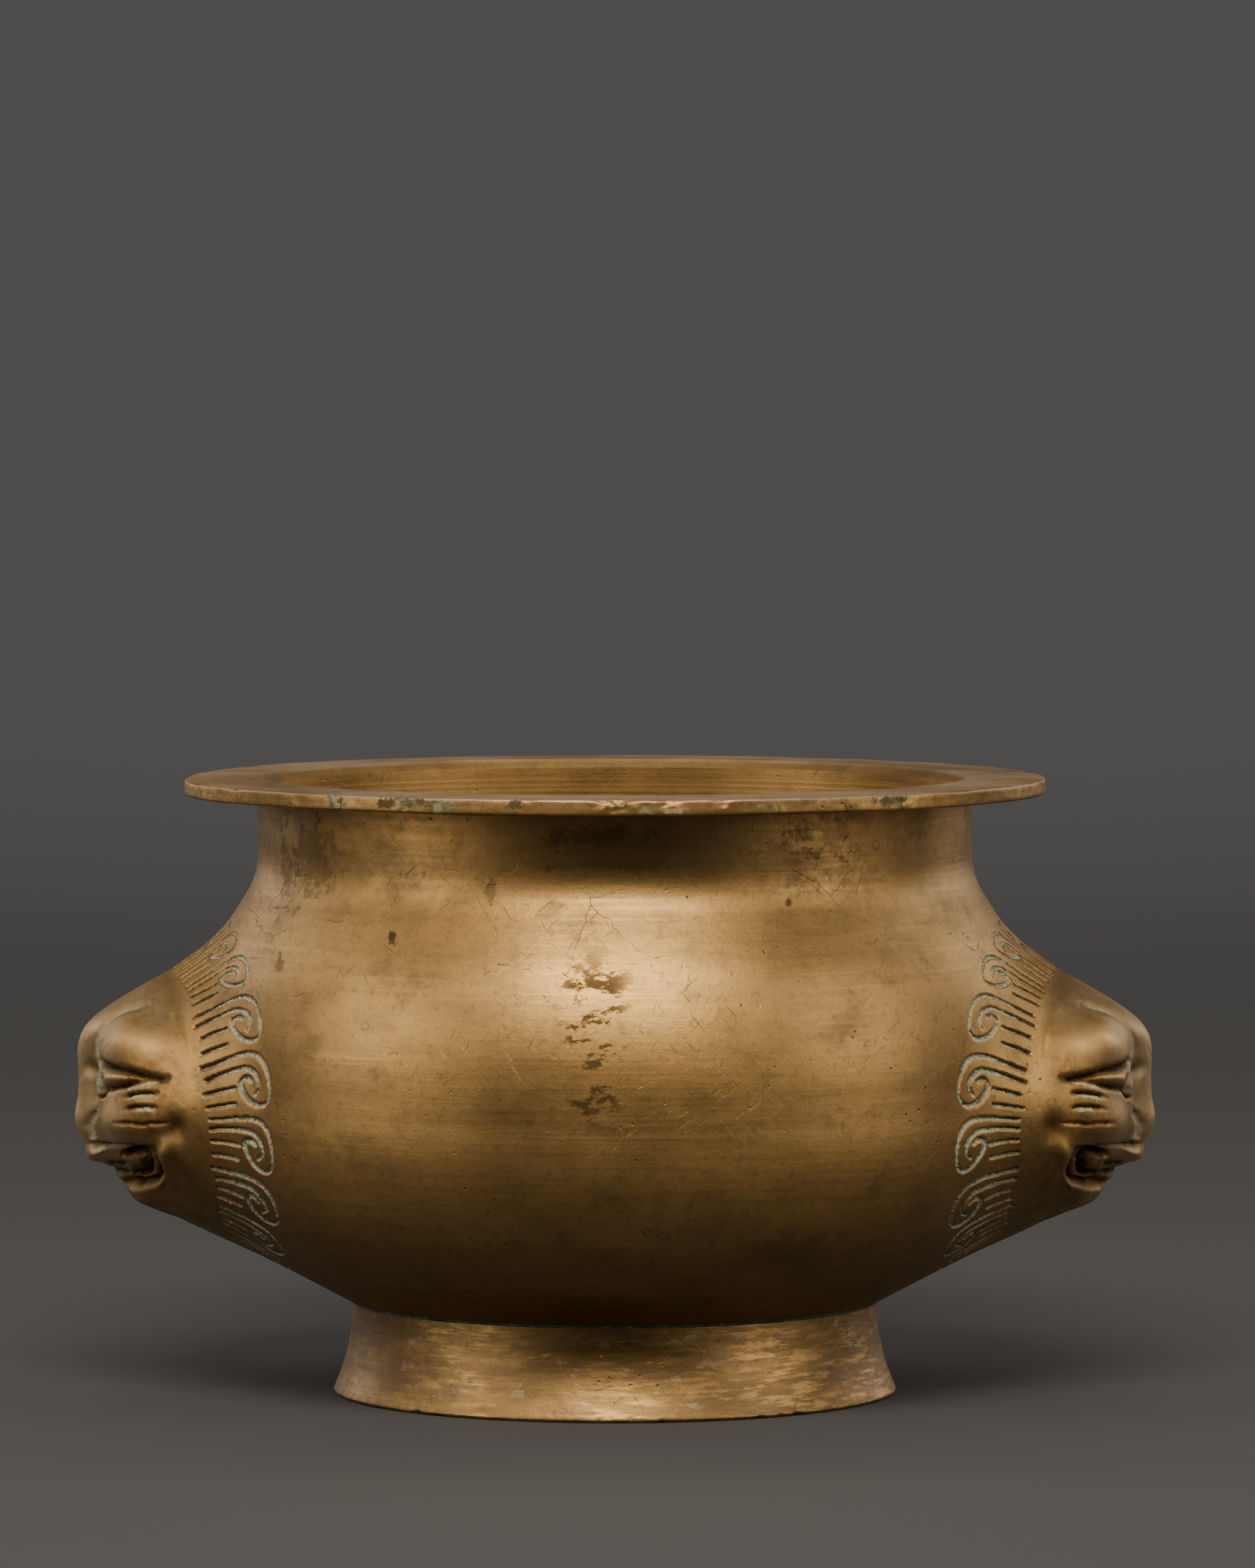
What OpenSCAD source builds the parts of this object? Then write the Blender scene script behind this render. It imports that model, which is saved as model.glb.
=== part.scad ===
// Brass planter pot: a turned bowl with a wide flat rim, a flared foot ring and two lion heads.
// Origin at the centre of the foot's resting face, +Z up, +X out through the right-hand head.

/* [Rim] */
// Radius of the outer edge of the flat rim
rim_r = 95.2; // [90:0.1:97]
// Thickness of the flat rim
rim_t = 3.4; // [3:0.1:5]
// Width of the bevel around the mouth
mouth_bevel = 1.9; // [0.5:0.1:2.4]
// Height of the whole pot
pot_h = 136.5; // [134:0.5:150]

/* [Bowl] */
// Outer radius of the straight neck
neck_r = 79; // [77:0.5:80]
// Outer radius of the belly
belly_r = 94.6; // [94:0.1:96]
// Thickness of the wall
wall = 2.8; // [2.2:0.1:3.2]
// Height at which the lower curve of the belly ends
belly_low_z = 65; // [64:0.5:66]
// Height at which the shoulder curve starts
belly_high_z = 73.3; // [72:0.1:74]
// Lowest point of the outside of the bowl's floor
floor_z = 8.3; // [7:0.1:9]

/* [Foot] */
// Height of the foot ring
foot_h = 20.6; // [20:0.1:21]
// Outer radius of the foot ring where it meets the bowl
foot_top_r = 58; // [57:0.5:60]
// Radius of the foot ring's bore at its top, around the bowl's spigot
foot_bore_r = 54.2; // [53:0.1:55]
// Inner radius of the foot ring at the resting face
foot_inner_r = 57.6; // [57:0.1:58]
// Radius of the foot ring's hollow flare
flare_r = 47; // [40:1:60]

/* [Mane collars] */
// Width of the side opening that each mane collar fills
opening_w = 119.2; // [114:0.2:120]
// Height of the side opening
opening_h = 79.2; // [77:0.2:79.6]
// Height of the centre of the side opening
opening_z = 66.6; // [66.2:0.1:67]
// Squareness of the side opening, where 2 is an ellipse
opening_power = 2.25; // [2:0.05:2.4]
// Width of the brazed joint around each collar
braze_gap = 0.5; // [0.4:0.1:1]

/* [Lion heads] */
// Depth of the open mouth
mouth_depth = 4.5; // [3:0.5:7]
// Half height of the open mouth
mouth_half_h = 2.9; // [2:0.1:3]
// Width of the brazed joint between each head and its collar
seam_w = 1.6; // [1:0.1:2]
// Depth of the brazed joint between each head and its collar
seam_depth = 0.9; // [0.6:0.1:1.5]

/* [Hidden] */
$fn = 96;
brass = "#a8803f";
worn_brass = "#b98d4b";
braze_brass = "#c7a468";
solder_grey = "#6f8f7c";

// Radii of the curves of the bowl's side, and how far each one turns from the vertical
low_r = 42;
low_turn = 63;
shoulder_r = 58;
shoulder_turn = 32;
neck_curve_r = 16;
floor_turn = 24;
floor_r = foot_top_r / sin(floor_turn);
neck_top_z = pot_h - rim_t;
// Width of the flat seat under the bowl, past the outside of the foot ring
seat_margin = 0.6;
// Leg of the small beads of braze and solder
bead = 1.1;
edge_round = 0.8;

// Steps of the polyhedra: around the head, along the collar, along the head
around = 64;
collar_rows = 6;
head_rows = 18;
inner_rows = 8;
opening_reach = 130;
angles = [for (i = [0:around - 1]) i * 360 / around];

// Points of a circular arc in the XZ plane
function arc(cx, cz, r, from, to, steps) =
    [for (i = [0:steps]) let (a = from + (to - from) * i / steps) [cx + r * cos(a), cz + r * sin(a)]];

// Where the shoulder curve gives way to the straight slope, and the slope to the neck curve;
// depth is how far inside the outer surface the profile runs
function shoulder_end(depth) =
    [belly_r - shoulder_r + (shoulder_r - depth) * cos(shoulder_turn),
     belly_high_z + (shoulder_r - depth) * sin(shoulder_turn)];
function low_end(depth) =
    [belly_r - low_r + (low_r - depth) * cos(low_turn),
     belly_low_z - (low_r - depth) * sin(low_turn)];
neck_curve_x = neck_r + neck_curve_r;
neck_curve_z = shoulder_end(0)[1]
    + (shoulder_end(0)[0] - neck_curve_x + neck_curve_r * cos(shoulder_turn)) / tan(shoulder_turn)
    + neck_curve_r * sin(shoulder_turn);

// Side of the bowl from the underside up to the top of the neck
function bowl_side(depth) = concat(
    arc(belly_r - low_r, belly_low_z, low_r - depth, -low_turn, 0, 16),
    arc(belly_r - shoulder_r, belly_high_z, shoulder_r - depth, 0, shoulder_turn, 10),
    arc(neck_curve_x, neck_curve_z, neck_curve_r + depth, 180 + shoulder_turn, 180, 8),
    [[neck_r - depth, neck_top_z]]);
function bowl_floor(depth, reach) =
    arc(0, floor_z + floor_r, floor_r - depth, -90, -90 + asin(reach / floor_r), 10);
function reversed(list) = [for (i = [len(list) - 1:-1:0]) list[i]];

module bowl_section() {
    polygon(concat(
        bowl_floor(0, foot_bore_r),
        [[foot_bore_r, foot_h], [foot_top_r + seat_margin, foot_h]],
        bowl_side(0),
        reversed(bowl_side(wall)),
        reversed(bowl_floor(wall, foot_top_r))));
}

// Radius of the bowl's side at a height, used where the collars meet it
function side_r(z, depth) =
    let (low = low_end(depth), high = shoulder_end(depth))
    z < low[1] ? low[0] + (z - low[1]) * tan(low_turn)
    : z < belly_low_z ? belly_r - low_r + sqrt(pow(low_r - depth, 2) - pow(z - belly_low_z, 2))
    : z < belly_high_z ? belly_r - depth
    : z < high[1] ? belly_r - shoulder_r + sqrt(pow(shoulder_r - depth, 2) - pow(z - belly_high_z, 2))
    : high[0] - (z - high[1]) * tan(shoulder_turn);

// Outline of the side opening as [y, z], at an angle around the head from +Y through +Z
function oval(angle, grow) =
    let (c = cos(angle), s = sin(angle), e = 2 / opening_power)
    [sign(c) * pow(abs(c), e) * (opening_w / 2 + grow),
     opening_z + sign(s) * pow(abs(s), e) * (opening_h / 2 + grow)];
function opening_point(angle, depth) =
    let (p = oval(angle, 0), r = side_r(p[1], depth))
    [sqrt(r * r - p[0] * p[0]), p[0], p[1]];

// Straight plug through the bowl's side, from start outwards along +X
module opening_prism(grow, start) {
    translate([start, 0, 0])
        rotate([90, 0, 90])
            linear_extrude(opening_reach - start)
                polygon([for (a = angles) oval(a, grow)]);
}

// Five profiles of the right-hand head, each from its seam with the collar to the front of the face
profile_side = [[89.6, 46, 65.4], [97.4, 41.2, 65.6], [104.5, 35.4, 65.8], [109.2, 27.6, 65.9],
    [112.7, 18, 66], [116.4, 8.6, 66], [118.6, 0, 66]];
profile_high = [[93.5, 33.5, 87.7], [100.4, 29.6, 85.3], [106.8, 24.6, 82.7], [111.3, 18.4, 79.3],
    [114.4, 11.6, 75.3], [117.6, 5.6, 70.8], [118.6, 0, 66]];
profile_top = [[99, 0, 93.3], [106.6, 0, 89.1], [113.2, 0, 84.9], [117.3, 0, 81.2],
               [118.9, 0, 77], [118.9, 0, 71.6], [118.6, 0, 66]];
profile_low = [[88, 32.9, 44.8], [94.4, 28.8, 46.6], [101, 23.6, 49], [106.5, 17.8, 52.1],
    [111.3, 12.2, 55.8], [116, 6.5, 60.4], [118.6, 0, 66]];
profile_under = [[86.8, 0, 34.1], [95.6, 0, 38.1], [103.6, 0, 41.4], [108.4, 0, 45.4],
                 [112.8, 0, 50.6], [117.2, 0, 56.2], [118.6, 0, 66]];
function flip(profile) = [for (p = profile) [p[0], -p[1], p[2]]];
profiles = [profile_side, profile_high, profile_top, flip(profile_high),
            flip(profile_side), flip(profile_low), profile_under, profile_low];
last = len(profile_side) - 1;
head_centre = [86, 0, 63.6];

// Smooth curve through four values
function through(p0, p1, p2, p3, t) =
    p1 + 0.5 * t * (p2 - p0 + t * (2 * p0 - 5 * p1 + 4 * p2 - p3 + t * (3 * (p1 - p2) + p3 - p0)));
// Control point of a profile, with one point past each end
function control(k, j) =
    let (k8 = (k + 8) % 8, far = (k + 4) % 8)
    j < 0 ? 2 * profiles[k8][0] - profiles[k8][1]
    : j > last ? profiles[far][last - 1]
    : profiles[k8][j];
function along(k, t) =
    let (j = min(floor(t * last), last - 1), u = t * last - j)
    through(control(k, j - 1), control(k, j), control(k, j + 1), control(k, j + 2), u);
// Plain skin of the head: t runs from the seam, 0, to the front of the face, 1
function skin(angle, t) =
    let (k = floor(angle / 45), u = angle / 45 - k)
    through(along(k - 1, t), along(k, t), along(k + 1, t), along(k + 2, t), u);
function unit(v) = v / norm(v);
function skin_normal(angle, t) =
    let (t2 = min(t, 0.97), turn = skin(angle + 1, t2) - skin(angle - 1 + 360, t2),
         step = skin(angle, t2 + 0.01) - skin(angle, max(t2 - 0.01, 0)))
    unit(cross(turn, step));

// Carved features: [middle, half sizes, height], mirrored in Y
features = [
    [[117.8, 0, 60.2], [5.5, 7.5, 4.8], 1.9],   // tip of the nose
    [[115.2, 0, 52.6], [3.4, 9, 2.2], 2.1],     // front of the upper lip
    [[106, 27, 79.5], [8.5, 13, 4.8], 2.4],     // brow
    [[115.6, 11, 69], [2.4, 5.5, 5.4], -2.2],   // hollow beside the nose
    [[113.4, 16.5, 69.3], [2, 3, 3], 1.4],      // eyeball
    [[105, 31, 73], [8, 9, 1.8], -1.5],         // crease under the brow
    [[108.6, 26, 61.8], [6.5, 12, 4], 2.0],     // muzzle
    [[97.6, 37, 57], [2.4, 10, 2.6], 1.6],      // knob behind the mouth
    [[96, 40, 61.2], [2.4, 10, 3], -1.6],       // hollow behind the cheek
    [[104, 9, 43.2], [4.5, 12, 2.4], 0.8]];     // chin
function bump(p, f) =
    let (d = [(p[0] - f[0][0]) / f[1][0], (abs(p[1]) - f[0][1]) / f[1][1], (p[2] - f[0][2]) / f[1][2]])
    f[2] * exp(-d * d);
function carved(p) =
    let (heights = [for (f = features) bump(p, f)])
    heights * [for (f = features) 1];

// The open mouth: a deep slot on each side of the muzzle
mouth_corner = [101.4, 46.9];
mouth_front = [109, 50];
function clamp01(v) = max(0, min(1, v));
function mouth(p) =
    let (a = mouth_corner, d = mouth_front - a, q = [p[0], p[2]] - a,
         gap = norm(q - d * clamp01(q * d / (d * d))))
    -mouth_depth * (1 - clamp01((gap / mouth_half_h - 0.45) / 0.75));

function head_point(angle, t) =
    let (p = skin(angle, t), fade = clamp01(t * 8 - 0.2))
    p + skin_normal(angle, t) * fade * (carved(p) + mouth(p));
// Inside of the head: the plain skin drawn in towards the middle, more at the thick face
function head_inner(angle, t) =
    let (p = skin(angle, t), draw = wall / 34 + 0.3 * t)
    p + (head_centre - p) * draw;

// Seam between head and collar: its outer edge, the bottom of the joint and its inner edge
function seam_outer(angle) = skin(angle, 0);
function seam_inner(angle) = head_inner(angle, 0);
function seam_root(angle) =
    let (p = seam_outer(angle), q = seam_inner(angle))
    p + unit(q - p) * seam_depth;
seam_t = seam_w / 2 / norm(profile_side[1] - profile_side[0]) / last;

// Outside of the collar: leaves the bowl along its surface and runs into the head
function collar_point(angle, t) =
    let (a = opening_point(angle, 0), b = seam_outer(angle), chord = b - a,
         r = side_r(a[2], 0), slope = (side_r(a[2] + 0.5, 0) - side_r(a[2] - 0.5, 0)),
         n = unit([a[0], a[1], -r * slope]),
         start = chord - n * (chord * n),
         finish = 0.5 * chord + 0.5 * norm(chord) * unit(skin(angle, 0.04) - b),
         t2 = t * t, t3 = t2 * t)
    a * (2 * t3 - 3 * t2 + 1) + start * (t3 - 2 * t2 + t) + b * (3 * t2 - 2 * t3) + finish * (t3 - t2);
function collar_inner(angle, t) =
    let (a = opening_point(angle, wall), b = seam_inner(angle))
    a + (b - a) * t;
collar_edge_t = 1 - seam_w / 2 / norm(collar_point(0, 1) - collar_point(0, 0));

// Closed skin over rings of points: the last ring joins the first, or both ends are capped at a point
function ring_faces(rows) = [for (j = [0:rows - 2], i = [0:around - 1])
    let (a = j * around + i, b = j * around + (i + 1) % around)
    each [[a, b, a + around], [b, b + around, a + around]]];
function loop_faces(rows) = [for (j = [0:rows - 1], i = [0:around - 1])
    let (k = (j + 1) % rows, a = j * around + i, b = j * around + (i + 1) % around,
         c = k * around + i, d = k * around + (i + 1) % around)
    each [[a, b, c], [b, d, c]]];

module closed_loop(rings) {
    polyhedron(points = [for (ring = rings) each ring], faces = loop_faces(len(rings)));
}

module collar_right() {
    color(brass)
        closed_loop(concat(
            [for (j = [0:collar_rows]) [for (a = angles) collar_point(a, collar_edge_t * j / collar_rows)]],
            [[for (a = angles) seam_root(a)]],
            [for (j = [collar_rows:-1:0]) [for (a = angles) collar_inner(a, j / collar_rows)]]));
}

// The bead of the head's joint stands a little proud of both skins
module head_bead_right() {
    color(braze_brass)
        closed_loop([
            [for (a = angles) collar_point(a, collar_edge_t)],
            [for (a = angles) seam_outer(a) + 0.15 * skin_normal(a, 0)],
            [for (a = angles) head_point(a, seam_t)],
            [for (a = angles) seam_root(a)]]);
}

module head_right() {
    inner_end = (inner_rows - 1) / inner_rows;
    rings = concat(
        [for (j = [inner_rows - 1:-1:0]) [for (a = angles) head_inner(a, j / inner_rows)]],
        [[for (a = angles) seam_root(a)]],
        [for (j = [0:head_rows - 1]) [for (a = angles) head_point(a, seam_t + (1 - seam_t) * j / head_rows)]]);
    count = len(rings) * around;
    points = concat([for (ring = rings) each ring], [head_inner(0, 1), head_point(0, 1)]);
    inner_cap = [for (i = [0:around - 1]) [(i + 1) % around, i, count]];
    face_cap = [for (i = [0:around - 1])
        [count - around + i, count - around + (i + 1) % around, count + 1]];
    color(worn_brass)
        polyhedron(points = points, faces = concat(ring_faces(len(rings)), inner_cap, face_cap));
}

module collar_braze() {
    color(braze_brass)
        intersection() {
            rotate_extrude() bowl_section();
            difference() {
                opening_prism(braze_gap, 1);
                opening_prism(0, 0);
            }
        }
}

module bowl() {
    color(brass)
        difference() {
            rotate_extrude() bowl_section();
            opening_prism(braze_gap, 1);
            mirror([1, 0, 0]) opening_prism(braze_gap, 1);
        }
}

module rim_flange() {
    bore = neck_r - wall;
    color(brass)
        rotate_extrude()
            polygon(concat(
                [[bore, neck_top_z]],
                arc(rim_r - edge_round, neck_top_z + edge_round, edge_round, -90, 0, 4),
                arc(rim_r - edge_round, pot_h - edge_round, edge_round, 0, 90, 4),
                arc(bore + mouth_bevel, pot_h - mouth_bevel, mouth_bevel, 90, 180, 6)));
}

module rim_braze() {
    color(braze_brass)
        rotate_extrude()
            polygon([[neck_r, neck_top_z - bead], [neck_r + bead, neck_top_z], [neck_r, neck_top_z]]);
}

module foot_ring() {
    toe = [foot_top_r + flare_r - sqrt(pow(flare_r, 2) - pow(foot_h - edge_round, 2)), edge_round];
    flare_turn = asin((foot_h - edge_round) / flare_r);
    color(worn_brass)
        rotate_extrude()
            polygon(concat(
                arc(foot_top_r + flare_r, foot_h, flare_r, 180, 180 + flare_turn, 12),
                [[toe[0] - edge_round, 0], [foot_inner_r + edge_round, 0],
                 [foot_inner_r, edge_round], [foot_bore_r, foot_h]]));
}

module foot_solder() {
    seat_r = foot_top_r + seat_margin;
    slope_end = low_end(0);
    lift = 0.06;
    rise = [seat_r, foot_h] + lift * (slope_end - [seat_r, foot_h]);
    color(solder_grey)
        rotate_extrude()
            polygon([[foot_top_r, foot_h - bead], rise, [seat_r, foot_h], [foot_top_r, foot_h]]);
}

bowl();
rim_flange();
rim_braze();
foot_ring();
foot_solder();
mirror([1, 0, 0]) collar_right();  // mane_collar_left
collar_right();  // mane_collar_right
mirror([1, 0, 0]) collar_braze();  // collar_braze_left
collar_braze();  // collar_braze_right
mirror([1, 0, 0]) head_right();  // lion_head_left
head_right();  // lion_head_right
mirror([1, 0, 0]) head_bead_right();  // head_braze_left
head_bead_right();  // head_braze_right
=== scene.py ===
"""Looks of the brass planter pot: worn, patinated brass with a chiselled mane around each lion head.

Shapes are worked out in millimetres, in the frame of the CAD part. Meshes are made in metres.
"""
import math
from functools import cached_property

import bpy
import numpy as np
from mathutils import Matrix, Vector


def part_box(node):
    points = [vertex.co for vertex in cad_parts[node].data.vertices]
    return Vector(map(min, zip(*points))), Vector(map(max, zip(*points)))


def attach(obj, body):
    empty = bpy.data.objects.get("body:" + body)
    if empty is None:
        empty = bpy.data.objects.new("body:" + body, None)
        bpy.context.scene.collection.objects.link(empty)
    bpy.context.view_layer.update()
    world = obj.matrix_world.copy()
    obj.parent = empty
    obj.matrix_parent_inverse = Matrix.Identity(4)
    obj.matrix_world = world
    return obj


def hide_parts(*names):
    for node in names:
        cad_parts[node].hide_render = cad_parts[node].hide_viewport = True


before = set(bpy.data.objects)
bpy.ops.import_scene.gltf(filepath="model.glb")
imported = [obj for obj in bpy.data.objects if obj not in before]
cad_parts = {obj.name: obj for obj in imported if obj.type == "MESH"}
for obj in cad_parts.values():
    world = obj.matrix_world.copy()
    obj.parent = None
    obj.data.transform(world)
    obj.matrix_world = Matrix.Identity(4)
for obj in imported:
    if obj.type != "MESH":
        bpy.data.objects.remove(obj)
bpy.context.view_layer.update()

MM = 0.001


def box_mm(node):
    """Lowest and highest corner of a CAD node, in millimetres."""
    low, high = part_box(node)
    return np.array(low) / MM, np.array(high) / MM


# ---------------------------------------------------------------- sizes from the frame
RIM_LOW, RIM_HIGH = box_mm("rim_flange")
RIM_R = RIM_HIGH[0]
POT_H = RIM_HIGH[2]
NECK_TOP = RIM_LOW[2]
FOOT_H = box_mm("foot_ring")[1][2]
BOWL_R = box_mm("bowl")[1][1]
COLLAR_LOW, COLLAR_HIGH = box_mm("mane_collar_right")
OPEN_Y = COLLAR_HIGH[1]
OPEN_Z = (COLLAR_HIGH[2] - COLLAR_LOW[2]) / 2
OPEN_MID = (COLLAR_HIGH[2] + COLLAR_LOW[2]) / 2
RIM_OVERHANG, WALL = 16.2, 2.8
NECK_R = RIM_R - RIM_OVERHANG

# Curves of the bowl's side, as on the CAD part: radius and turn of the underside, the shoulder, the neck
LOW_R, LOW_TURN, LOW_Z = 42.0, math.radians(63), 65.0
SHOULDER_R, SHOULDER_TURN, SHOULDER_Z = 58.0, math.radians(32), 73.3
NECK_CURVE = 16.0
FLOOR_Z = 8.3
FOOT_TOP_R, FOOT_BORE_R, FOOT_INNER_R = 58.0, 54.2, 57.6
FLOOR_R = FOOT_TOP_R / math.sin(math.radians(24))
FLARE_R = 47.0
SEAT_R = FOOT_TOP_R + 0.6
SIDE_START_Z = 26.0  # above this the bowl's side gets its exact normals
OPEN_POWER = 2.25
BRAZE_GAP = 0.5
SEAM_W, SEAM_DEPTH = 1.6, 0.9
PLUG_ENDS = (30, 130)  # of the plugs that cut the openings, along X
AXIS_R = 0.4  # the floor's innermost ring of points

# How many points the rings of each piece have
BOWL_AROUND, RIM_AROUND, FOOT_AROUND, BEAD_AROUND = 448, 1200, 900, 1200
COLLAR_AROUND, HEAD_AROUND = 1040, 540

# Profiles of the right-hand head, each from the seam with the collar to the front of the face
SIDE = [(89.6, 46, 65.4), (97.4, 41.2, 65.6), (104.5, 35.4, 65.8), (109.2, 27.6, 65.9),
        (112.7, 18, 66), (116.4, 8.6, 66), (118.6, 0, 66)]
HIGH = [(93.5, 33.5, 87.7), (100.4, 29.6, 85.3), (106.8, 24.6, 82.7), (111.3, 18.4, 79.3),
        (114.4, 11.6, 75.3), (117.6, 5.6, 70.8), (118.6, 0, 66)]
TOP = [(99, 0, 93.3), (106.6, 0, 89.1), (113.2, 0, 84.9), (117.3, 0, 81.2),
       (118.9, 0, 77), (118.9, 0, 71.6), (118.6, 0, 66)]
LOW = [(88, 32.9, 44.8), (94.4, 28.8, 46.6), (101, 23.6, 49), (106.5, 17.8, 52.1),
       (111.3, 12.2, 55.8), (116, 6.5, 60.4), (118.6, 0, 66)]
UNDER = [(86.8, 0, 34.1), (95.6, 0, 38.1), (103.6, 0, 41.4), (108.4, 0, 45.4),
         (112.8, 0, 50.6), (117.2, 0, 56.2), (118.6, 0, 66)]
HEAD_CENTRE = np.array([86.0, 0, 63.6])
HEAD_HALF_W, FACE_THICKENING = 34, 0.3


# ---------------------------------------------------------------- small helpers
def unit(v):
    return v / np.maximum(np.linalg.norm(v, axis=-1, keepdims=True), 1e-12)


def smooth(edge0, edge1, x):
    t = np.clip((x - edge0) / (edge1 - edge0), 0, 1)
    return t * t * (3 - 2 * t)


def full_turn(count):
    return np.linspace(0, 2 * math.pi, count, endpoint=False)


def ripples(p, size, seed, count=14):
    """Soft, repeatable noise from -1 to 1 over points p: waves of about that size in random directions."""
    rng = np.random.default_rng(seed)
    directions = unit(rng.normal(size=(count, 3)))
    rate = 2 * math.pi / size * rng.uniform(0.6, 1.5, count)
    phase = rng.uniform(0, 2 * math.pi, count)
    total = np.zeros(p.shape[:-1])
    for d, r, f in zip(directions, rate, phase):
        total += np.sin((p @ d) * r + f)
    return total / math.sqrt(count) / 1.6


def specks(p, cell, share, seed):
    """Round specks scattered over points p: 1 at a speck's middle, falling to 0 at its edge."""
    base = np.floor(p / cell).astype(int)
    best = np.zeros(p.shape[:-1])
    for step in np.ndindex(3, 3, 3):
        c = base + np.array(step) - 1
        key = (c[..., 0] * 73856093 ^ c[..., 1] * 19349663 ^ c[..., 2] * 83492791) + seed * 7919
        u = [((key * k + 12345) % 100003) / 100003.0 for k in (16807, 48271, 69621, 40692, 30269)]
        middle = (c + np.stack(u[:3], -1)) * cell
        radius = cell * (0.12 + 0.26 * u[4])
        near = 1 - np.linalg.norm(p - middle, axis=-1) / radius
        best = np.maximum(best, np.where(u[3] < share, np.clip(near, 0, 1), 0))
    return best


def curve_through(points, steps):
    """Smooth line through the points, with that many steps between each two."""
    q = np.array(points, float)
    q = np.vstack([2 * q[0] - q[1], q, 2 * q[-1] - q[-2]])
    out = []
    for i in range(1, len(q) - 2):
        for s in range(steps):
            out.append(blend_four(q[i - 1], q[i], q[i + 1], q[i + 2], s / steps))
    out.append(q[-2])
    return np.array(out)


def blend_four(p0, p1, p2, p3, t):
    return p1 + 0.5 * t * (p2 - p0 + t * (2 * p0 - 5 * p1 + 4 * p2 - p3 + t * (3 * (p1 - p2) + p3 - p0)))


def line_distance(points, line):
    """Distance from 2-D points to a line, how far along it, 0 to 1, the nearest place is, and how far beyond
    it the points lie in the second direction."""
    best = np.full(len(points), 1e9)
    along = np.zeros(len(points))
    beyond = np.zeros(len(points))
    for i in range(len(line) - 1):
        a, d = line[i], line[i + 1] - line[i]
        t = np.clip(((points - a) @ d) / max(d @ d, 1e-12), 0, 1)
        off = points - a - t[:, None] * d
        gap = np.linalg.norm(off, axis=1)
        closer = gap < best
        best[closer] = gap[closer]
        beyond[closer] = off[closer, 1]
        along[closer] = (i + t[closer]) / (len(line) - 1)
    return best, along, beyond


# ---------------------------------------------------------------- meshes
def build_mesh(name, verts, faces, sharp_degrees=None, **attributes):
    """A smooth-shaded object from points in millimetres and arrays of triangles and quads."""
    mesh = bpy.data.meshes.new(name)
    mesh.vertices.add(len(verts))
    mesh.vertices.foreach_set("co", (np.asarray(verts) * MM).astype(np.float32).ravel())
    sizes = np.concatenate([np.full(len(f), f.shape[1]) for f in faces])
    mesh.loops.add(int(sizes.sum()))
    mesh.loops.foreach_set("vertex_index", np.concatenate([f.ravel() for f in faces]).astype(np.int32))
    mesh.polygons.add(len(sizes))
    mesh.polygons.foreach_set("loop_start", np.concatenate([[0], np.cumsum(sizes)[:-1]]).astype(np.int32))
    mesh.polygons.foreach_set("use_smooth", np.ones(len(sizes), bool))
    mesh.update(calc_edges=True)
    mesh.validate()
    if sharp_degrees:
        mesh.set_sharp_from_angle(angle=math.radians(sharp_degrees))
    for key, values in attributes.items():
        layer = mesh.attributes.new(key, "FLOAT", "POINT")
        layer.data.foreach_set("value", np.asarray(values, np.float32))
    obj = bpy.data.objects.new(name, mesh)
    bpy.context.scene.collection.objects.link(obj)
    return obj


def fetch(items, key, width=1):
    """One property of all vertices, loops, faces or edges, as an array."""
    whole = key not in ("co", "normal")
    values = np.zeros(len(items) * width, np.int32 if whole else float)
    items.foreach_get(key, values)
    return values.reshape(-1, width) if width > 1 else values


def sharp_ring(obj, ring, around):
    """Keeps the edge along one ring of a tube sharp."""
    mesh = obj.data
    on_ring = np.all(fetch(mesh.edges, "vertices", 2) // around == ring, axis=1)
    layer = mesh.attributes.get("sharp_edge") or mesh.attributes.new("sharp_edge", "BOOLEAN", "EDGE")
    flags = np.zeros(len(mesh.edges), bool)
    layer.data.foreach_get("value", flags)
    layer.data.foreach_set("value", flags | on_ring)


def ring_quads(rows, around, closed):
    """Quads between neighbouring rings of points; a closed tube joins the last ring to the first."""
    j = np.arange(rows if closed else rows - 1)[:, None]
    i = np.arange(around)[None, :]
    k = (j + 1) % rows
    nxt = (i + 1) % around
    quads = np.stack([j * around + i, j * around + nxt, k * around + nxt, k * around + i], -1)
    return quads.reshape(-1, 4)


def turned(name, profile, around, sharp_degrees=None, shape=None):
    """A solid of revolution from a closed profile of (radius, height) points, running anticlockwise."""
    a = full_turn(around)
    profile = np.array(profile)
    rings = np.stack([profile[:, :1] * np.cos(a), profile[:, :1] * np.sin(a),
                      np.repeat(profile[:, 1:], around, 1)], -1)
    verts = rings.reshape(-1, 3)
    if shape is not None:
        verts = shape(verts)
    quads = ring_quads(len(profile), around, True)
    return build_mesh(name, verts, [quads], sharp_degrees)


def shifted(p, outward, up):
    """Points moved away from the pot's axis and upward."""
    return p + np.column_stack([unit(p[:, :2]) * outward[:, None], up])


def arc(cx, cz, r, start, end, steps):
    a = np.linspace(start, end, steps + 1)
    return np.stack([cx + r * np.cos(a), cz + r * np.sin(a)], -1)


# ---------------------------------------------------------------- the bowl's side, as in CAD
def shoulder_end(depth):
    return (BOWL_R - SHOULDER_R + (SHOULDER_R - depth) * math.cos(SHOULDER_TURN),
            SHOULDER_Z + (SHOULDER_R - depth) * math.sin(SHOULDER_TURN))


def low_end(depth):
    return (BOWL_R - LOW_R + (LOW_R - depth) * math.cos(LOW_TURN),
            LOW_Z - (LOW_R - depth) * math.sin(LOW_TURN))


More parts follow.
